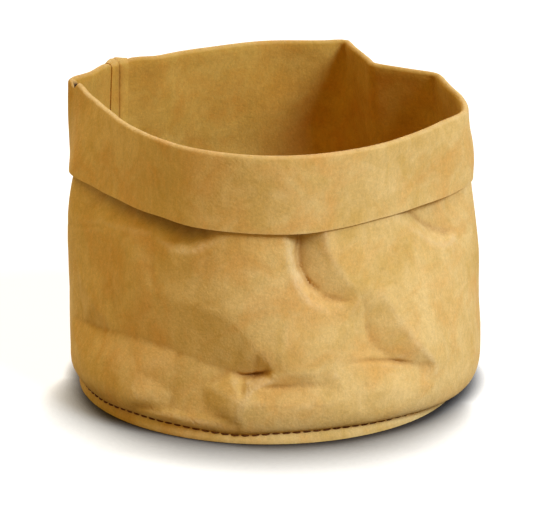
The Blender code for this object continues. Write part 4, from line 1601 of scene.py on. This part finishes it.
@dataclass
class LockStitch:
    """Lines of stitches that follow a path, made with geometry nodes."""

    finish: bpy.types.Material
    sides: int = 7
    bow_points: int = 7
    tree: bpy.types.NodeTree = field(init=False)

    def __post_init__(self) -> None:
        """Builds the node tree once."""
        self.tree = self.make_tree()

    def one_stitch(self, sheet: NodeSheet, given: bpy.types.NodeOutputs) -> bpy.types.NodeSocket:
        """Makes a short bowed thread.

        Args:
            sheet: The tree's node sheet.
            given: The tree's inputs.

        Returns:
            The stitch.
        """
        half = sheet.math("MULTIPLY", given["Stitch Length"], 0.5)
        down = sheet.math("MULTIPLY", given["Sink"], -1.0)
        up = sheet.math("ADD", sheet.math("MULTIPLY", given["Lift"], 2.0), given["Sink"])
        bow = sheet.add("GeometryNodeCurveQuadraticBezier", {
            "Resolution": self.bow_points, "Middle": sheet.upright(Z=up),
            "Start": sheet.upright(X=sheet.math("MULTIPLY", half, -1.0), Z=down),
            "End": sheet.upright(X=half, Z=down)})
        ring = sheet.add("GeometryNodeCurvePrimitiveCircle", {
            "Resolution": self.sides, "Radius": sheet.math("MULTIPLY", given["Thread Width"], 0.5)})
        stitch = sheet.add("GeometryNodeCurveToMesh", {
            "Curve": bow.outputs[0], "Profile Curve": ring.outputs[0], "Fill Caps": True})
        return sheet.add("GeometryNodeSetShadeSmooth", {"Geometry": stitch.outputs[0]}).outputs[0]

    def make_tree(self) -> bpy.types.NodeTree:
        """Makes the tree: a stitch at each step along the path, turned and swayed a little.

        Returns:
            The node tree.
        """
        tree = bpy.data.node_groups.new("Lockstitch line", "GeometryNodeTree")
        tree.interface.new_socket(name="Path", in_out="INPUT", socket_type="NodeSocketGeometry")
        for name, value in StitchSetting().inputs().items():
            socket = tree.interface.new_socket(name=name, in_out="INPUT", socket_type="NodeSocketFloat")
            socket.default_value = value
        tree.interface.new_socket(name="Seed", in_out="INPUT", socket_type="NodeSocketInt")
        tree.interface.new_socket(name="Finish", in_out="INPUT", socket_type="NodeSocketMaterial")
        tree.interface.new_socket(name="Stitches", in_out="OUTPUT", socket_type="NodeSocketGeometry")
        sheet = NodeSheet(tree)
        given = sheet.add("NodeGroupInput").outputs
        curve = sheet.add("GeometryNodeMeshToCurve", {"Mesh": given["Path"]})
        steps = sheet.add("GeometryNodeResampleCurve", {
            "Curve": curve.outputs[0], "Length": given["Pitch"]}, mode="LENGTH")
        tangent = sheet.add("GeometryNodeInputTangent")
        outward = sheet.add("GeometryNodeInputNamedAttribute", {"Name": "outward"}, data_type="FLOAT_VECTOR")
        lined = sheet.add("FunctionNodeAlignRotationToVector", {"Vector": tangent.outputs[0]}, axis="X")
        turned = sheet.add("FunctionNodeAlignRotationToVector", {
            "Rotation": lined.outputs[0], "Vector": outward.outputs["Attribute"]}, axis="Z", pivot_axis="X")
        least = sheet.math("MULTIPLY", given["Jitter"], -1.0)
        sway = sheet.add("FunctionNodeRandomValue", {
            2: least, 3: given["Jitter"], "Seed": given["Seed"]}, data_type="FLOAT")
        swayed = sheet.add("FunctionNodeRotateRotation", {
            "Rotation": turned.outputs[0], "Rotate By": sheet.upright(Z=sway.outputs[1])},
            rotation_space="LOCAL")
        size = sheet.add("FunctionNodeRandomValue", {
            2: sheet.math("SUBTRACT", 1.0, given["Jitter"]), 3: sheet.math("ADD", 1.0, given["Jitter"]),
            "Seed": sheet.math("ADD", given["Seed"], 1.0)}, data_type="FLOAT")
        placed = sheet.add("GeometryNodeInstanceOnPoints", {
            "Points": steps.outputs[0], "Instance": self.one_stitch(sheet, given),
            "Rotation": swayed.outputs[0], "Scale": size.outputs[1]})
        real = sheet.add("GeometryNodeRealizeInstances", {"Geometry": placed.outputs[0]})
        dressed = sheet.add("GeometryNodeSetMaterial", {
            "Geometry": real.outputs[0], "Material": given["Finish"]})
        sheet.add("NodeGroupOutput", {"Stitches": dressed.outputs[0]})
        return tree

    def sew(self, name: str, points: np.ndarray, outward: np.ndarray, closed: bool,
            setting: StitchSetting) -> bpy.types.Object:
        """Makes one line of stitches.

        Args:
            name: Name of the piece.
            points: Path in millimetres.
            outward: Direction out of the paper at each point of the path.
            closed: Whether the path ends where it starts.
            setting: Sizes of the stitches.

        Returns:
            The stitches as a plain mesh.
        """
        count = len(points)
        mesh = bpy.data.meshes.new(name)
        edges = [(i, i + 1) for i in range(count - 1)] + ([(count - 1, 0)] if closed else [])
        mesh.from_pydata((points * MM).tolist(), edges, [])
        layer = mesh.attributes.new("outward", "FLOAT_VECTOR", "POINT")
        layer.data.foreach_set("vector", outward.astype(np.float32).ravel())
        item = bpy.data.objects.new(name, mesh)
        bpy.context.scene.collection.objects.link(item)
        nodes = item.modifiers.new("stitches", "NODES")
        nodes.node_group = self.tree
        values = {**setting.inputs(), "Seed": setting.seed, "Finish": self.finish}
        for socket in self.tree.interface.items_tree:
            if socket.in_out == "INPUT" and socket.name in values:
                nodes[socket.identifier] = values[socket.name]
        make_plain(item)
        return item


@dataclass
class BasketSeams:
    """All the basket's lines of lockstitch.

    Attributes:
        sewer: What makes the stitches.
        wall: The wall that the side seam runs up.
        form: The basket's form.
        path_points: Points of the path round the foot.
        bobbin_drop: How far the inner line lies below the outer one.
        first_row: Row of the wall at which the side seam starts.
        hidden: The side seam's thread, which lies flat between papers.
        seam_lines: How far the side seam's threads lie from the seam, against the nesting.
    """

    sewer: LockStitch
    wall: WallSheet
    form: BasketForm = FORM
    path_points: int = 360
    bobbin_drop: float = 1.0
    first_row: int = 5
    hidden: StitchSetting = StitchSetting(thread=0.5, sink=0.35, lift=0.05, jitter=0.02)
    seam_lines: float = 1.2

    def foot_lines(self) -> list[tuple[bpy.types.Object, str]]:
        """Sews the wall to the base: the needle thread outside, the bobbin thread inside.

        Returns:
            Each line of stitches and the node it stands for.
        """
        form = self.form
        azimuth = np.arange(self.path_points) * 360 / self.path_points
        level = form.stitch_height + form.stitch_wave.at(azimuth)
        out = polar(azimuth, 1 + 0 * azimuth, 0 * azimuth)
        needle = polar(azimuth, form.foot_radius(azimuth, level) + form.paper / 2, level)
        low = form.stitch_height - self.bobbin_drop + 0 * azimuth
        bobbin = polar(azimuth, form.base_rim_radius(azimuth, low) - form.paper / 2, low)
        return [
            (self.sewer.sew("base_seam_needle_stitches", needle, out, True, StitchSetting()),
             "base_seam_needle_thread"),
            (self.sewer.sew("base_seam_bobbin_stitches", bobbin, -out, True, StitchSetting(seed=8)),
             "base_seam_bobbin_thread"),
        ]

    def side_lines(self) -> list[tuple[bpy.types.Object, str]]:
        """Sews the side seam inside its turned-in edges, up the wall and down the cuff.

        Returns:
            Each line of stitches and the node it stands for.
        """
        form = self.form
        turn = math.degrees(self.seam_lines * form.nesting / form.radius)
        lines = []
        for kind, side in (("needle", 1), ("bobbin", -1)):
            azimuth = np.array([form.seam_azimuth + side * turn])
            rows = self.wall.rows(azimuth)[self.first_row:-2]
            points = np.array([(row[0] - row[1] * form.seam_loop / 2)[0] for row in rows])
            along = unit(np.gradient(points, axis=0))
            away = unit(np.cross(along, np.array([row[1][0] for row in rows]))) * -side
            piece = self.sewer.sew(f"side_seam_{kind}_stitches", points, away, False, self.hidden)
            lines.append((piece, f"side_seam_{kind}_thread"))
        return lines


@dataclass(frozen=True)
class Lamp:
    """A soft distant lamp, with its place and its apparent size in degrees."""

    name: str
    azimuth: float
    elevation: float
    spread: float
    strength: float
    colour: Direction


@dataclass
class Studio:
    """Camera, lights and the pale floor.

    Attributes:
        elevation: Height of the camera, in degrees.
        distance: How far it stands from what it is aimed at, in metres.
        aim: What it is aimed at.
        lens: Its focal length in millimetres.
        sensor: Width of its sensor in millimetres.
        view_end: How far it sees, in metres.
        lamps: The lamps.
        around: Light from the surroundings.
        around_strength: Its strength.
        backdrop: What the surroundings look like.
        floor_half: Half the floor's width in metres.
        floor_parts: How many parts each side of the floor has.
        floor_drop: How far the floor lies below the basket.
        floor: The floor's colour in the light.
        floor_seen: What it takes towards the backdrop, where it is seen directly.
        lift: How strongly it does.
        lift_fade: How fast that fades into the contact shadow.
        floor_roughness: Its roughness.
        contact: The floor's colour in the contact shadow.
        open_way: Direction from which the contact shadow is opened.
        front_way: Direction in which the contact shadow is measured, away from the basket's back.
        shadow_from: Where along it the shadow starts to change, and the shadow's reach there.
        shadow_to: Where it stops changing, and the shadow's reach there.
        shadow_ends: Shares of open view at which the floor is darkest and plain.
        shadow_samples: With how many rays the shadow is felt for.
        side_light: How much lighter the shadow is at the sides.
        side_range: Where along the way the sides end.
    """

    elevation: float = 18.5
    distance: float = 1.8
    aim: Direction = (0.0, 0.0, 0.066)
    lens: float = 239.3
    sensor: float = 36.0
    view_end: float = 50.0
    lamps: tuple[Lamp, ...] = (
        Lamp("key", -36, 38, 24, 2.5, (0.88, 1.15, 2.00)),
        Lamp("top", -110, 66, 40, 0.5, (1.0, 0.78, 0.26)),
        Lamp("back fill", 118, 34, 30, 0.9, (1.0, 0.97, 0.90)),
        Lamp("left edge", 172, 25, 30, 0.16, (0.90, 1.05, 0.95)))
    around: Colour = (1.0, 0.61, 0.10, 1.0)
    around_strength: float = 0.34
    backdrop: Colour = (1.0, 1.0, 1.0, 1.0)
    floor_half: float = 6.0
    floor_parts: int = 8
    floor_drop: float = 0.0002
    floor: Colour = (0.46, 0.41, 0.27, 1.0)
    floor_seen: Colour = (0.95, 0.98, 1.0, 1.0)
    lift: float = 0.9
    lift_fade: float = 2.0
    floor_roughness: float = 0.9
    contact: Colour = (0.050, 0.042, 0.028, 1.0)
    open_way: Direction = (0.0, 0.90, 0.44)
    front_way: Direction = (-0.18, -1.0, 0.0)
    shadow_from: Span = (0.022, 0.011)
    shadow_to: Span = (0.118, 0.066)
    shadow_ends: Span = (0.49, 0.935)
    shadow_samples: int = 16
    side_light: float = 0.38
    side_range: Span = (0.03, 0.09)

    def place_camera(self) -> None:
        """Puts the camera where the photograph was taken from."""
        rise = math.radians(self.elevation)
        away = Vector((0.0, -math.cos(rise), math.sin(rise)))
        data = bpy.data.cameras.new("camera")
        data.lens = self.lens
        data.sensor_width = self.sensor
        data.clip_end = self.view_end
        camera = bpy.data.objects.new("camera", data)
        camera.location = Vector(self.aim) + away * self.distance
        camera.rotation_euler = (-away).to_track_quat("-Z", "Y").to_euler()
        bpy.context.scene.collection.objects.link(camera)
        bpy.context.scene.camera = camera

    def hang(self, lamp: Lamp) -> None:
        """Adds one lamp.

        Args:
            lamp: The lamp.
        """
        data = bpy.data.lights.new(lamp.name, "SUN")
        data.energy = lamp.strength
        data.angle = math.radians(lamp.spread)
        data.color = lamp.colour
        item = bpy.data.objects.new(lamp.name, data)
        side, rise = math.radians(lamp.azimuth), math.radians(lamp.elevation)
        toward = Vector((math.cos(side) * math.cos(rise), math.sin(side) * math.cos(rise), math.sin(rise)))
        item.rotation_euler = toward.to_track_quat("Z", "Y").to_euler()
        bpy.context.scene.collection.objects.link(item)

    def light(self) -> None:
        """Adds the lamps and the surroundings, which are white where they are seen directly."""
        for lamp in self.lamps:
            self.hang(lamp)
        world = bpy.data.worlds.new("white surroundings")
        world.use_nodes = True
        bpy.context.scene.world = world
        nodes = NodeSheet(world.node_tree)
        background = world.node_tree.nodes["Background"]
        nodes.feed(background, {"Color": self.around, "Strength": self.around_strength})
        seen = nodes.add("ShaderNodeBackground", {"Color": self.backdrop, "Strength": 1.0})
        joined = nodes.add("ShaderNodeMixShader", {
            0: self.seen_directly(nodes), 1: background.outputs[0], 2: seen.outputs[0]})
        nodes.feed(world.node_tree.nodes["World Output"], {"Surface": joined.outputs[0]})

    def seen_directly(self, nodes: NodeSheet) -> bpy.types.NodeSocket:
        """Finds which rays see a surface directly, in gloss or through glass.

        Args:
            nodes: The node sheet.

        Returns:
            1 for those rays and 0 for others.
        """
        path = nodes.add("ShaderNodeLightPath").outputs
        either = nodes.math("MAXIMUM", path["Is Camera Ray"], path["Is Glossy Ray"])
        return nodes.math("MAXIMUM", either, path["Is Transmission Ray"])

    def open_share(self, nodes: NodeSheet) -> bpy.types.NodeSocket:
        """Finds how open the floor is: the contact shadow is short and light at the sides.

        Args:
            nodes: The floor's node sheet.

        Returns:
            The share, from 0 to 1.
        """
        ahead = nodes.vector("DOT_PRODUCT", nodes.place(), self.front_way)["Value"]
        reach = nodes.ramp(ahead, *zip(self.shadow_from, self.shadow_to))
        near = nodes.add("ShaderNodeAmbientOcclusion", {"Distance": reach, "Normal": self.open_way},
                         samples=self.shadow_samples).outputs["AO"]
        lit = nodes.ramp(ahead, self.side_range, (self.side_light, 0.0))
        closed = nodes.math("MULTIPLY", nodes.math("SUBTRACT", 1.0, near), nodes.math("SUBTRACT", 1.0, lit))
        return nodes.ramp(nodes.math("SUBTRACT", 1.0, closed), self.shadow_ends)

    def lay_floor(self) -> bpy.types.Object:
        """Lays a plain pale floor that keeps the basket's shadow.

        Returns:
            The floor.
        """
        mesh = bpy.data.meshes.new("studio_floor")
        grid = bmesh.new()
        bmesh.ops.create_grid(grid, x_segments=self.floor_parts, y_segments=self.floor_parts,
                              size=self.floor_half)
        bmesh.ops.translate(grid, verts=grid.verts, vec=(0.0, 0.0, -self.floor_drop))
        grid.to_mesh(mesh)
        grid.free()
        floor = bpy.data.objects.new("studio_floor", mesh)
        bpy.context.scene.collection.objects.link(floor)
        mesh.materials.append(self.floor_finish())
        return floor

    def floor_finish(self) -> bpy.types.Material:
        """Makes the floor's material, lifted towards the backdrop where it is seen directly.

        Returns:
            The material.
        """
        material, nodes, shader = new_material("white studio floor")
        near = self.open_share(nodes)
        open_floor = nodes.math("MULTIPLY", self.seen_directly(nodes),
                                nodes.math("POWER", near, self.lift_fade))
        nodes.feed(shader, {
            "Base Color": nodes.mix(near, self.contact, self.floor), "Roughness": self.floor_roughness,
            "Specular IOR Level": 0.0, "Emission Color": self.floor_seen,
            "Emission Strength": nodes.math("MULTIPLY", open_floor, self.lift)})
        return material


def dress(item: bpy.types.Object, material: bpy.types.Material) -> None:
    """Gives a piece one material."""
    item.data.materials.clear()
    item.data.materials.append(material)


def enter(item: bpy.types.Object, node: str) -> None:
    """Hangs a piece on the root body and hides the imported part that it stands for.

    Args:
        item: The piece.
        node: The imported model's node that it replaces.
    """
    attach(item, "root")
    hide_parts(node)
    LOG.info("%s stands for %s, %d faces", item.name, node, len(item.data.polygons))


def main() -> None:
    """Builds the basket's pieces in order, then the studio."""
    logging.basicConfig(level=logging.INFO, format="%(name)s: %(message)s")
    bpy.context.scene.view_settings.view_transform = "Standard"
    paper = KraftPaper().build(PaperGrain().build(), CreasePaintedLightAndWear().build())
    thread = SeamThread().build()

    wall_sheet = WallSheet()
    wall = wall_sheet.build()
    dress(wall, paper)
    enter(wall, "wall")
    wall_sheet.flat_size()

    disc = BaseDisc()
    base = disc.build()
    dress(base, paper)
    enter(base, "base")

    seams = BasketSeams(LockStitch(thread), wall_sheet)
    for stitches, node in seams.foot_lines() + seams.side_lines():
        enter(stitches, node)

    studio = Studio()
    studio.place_camera()
    studio.light()
    studio.lay_floor()


if __name__ == "__main__":
    main()
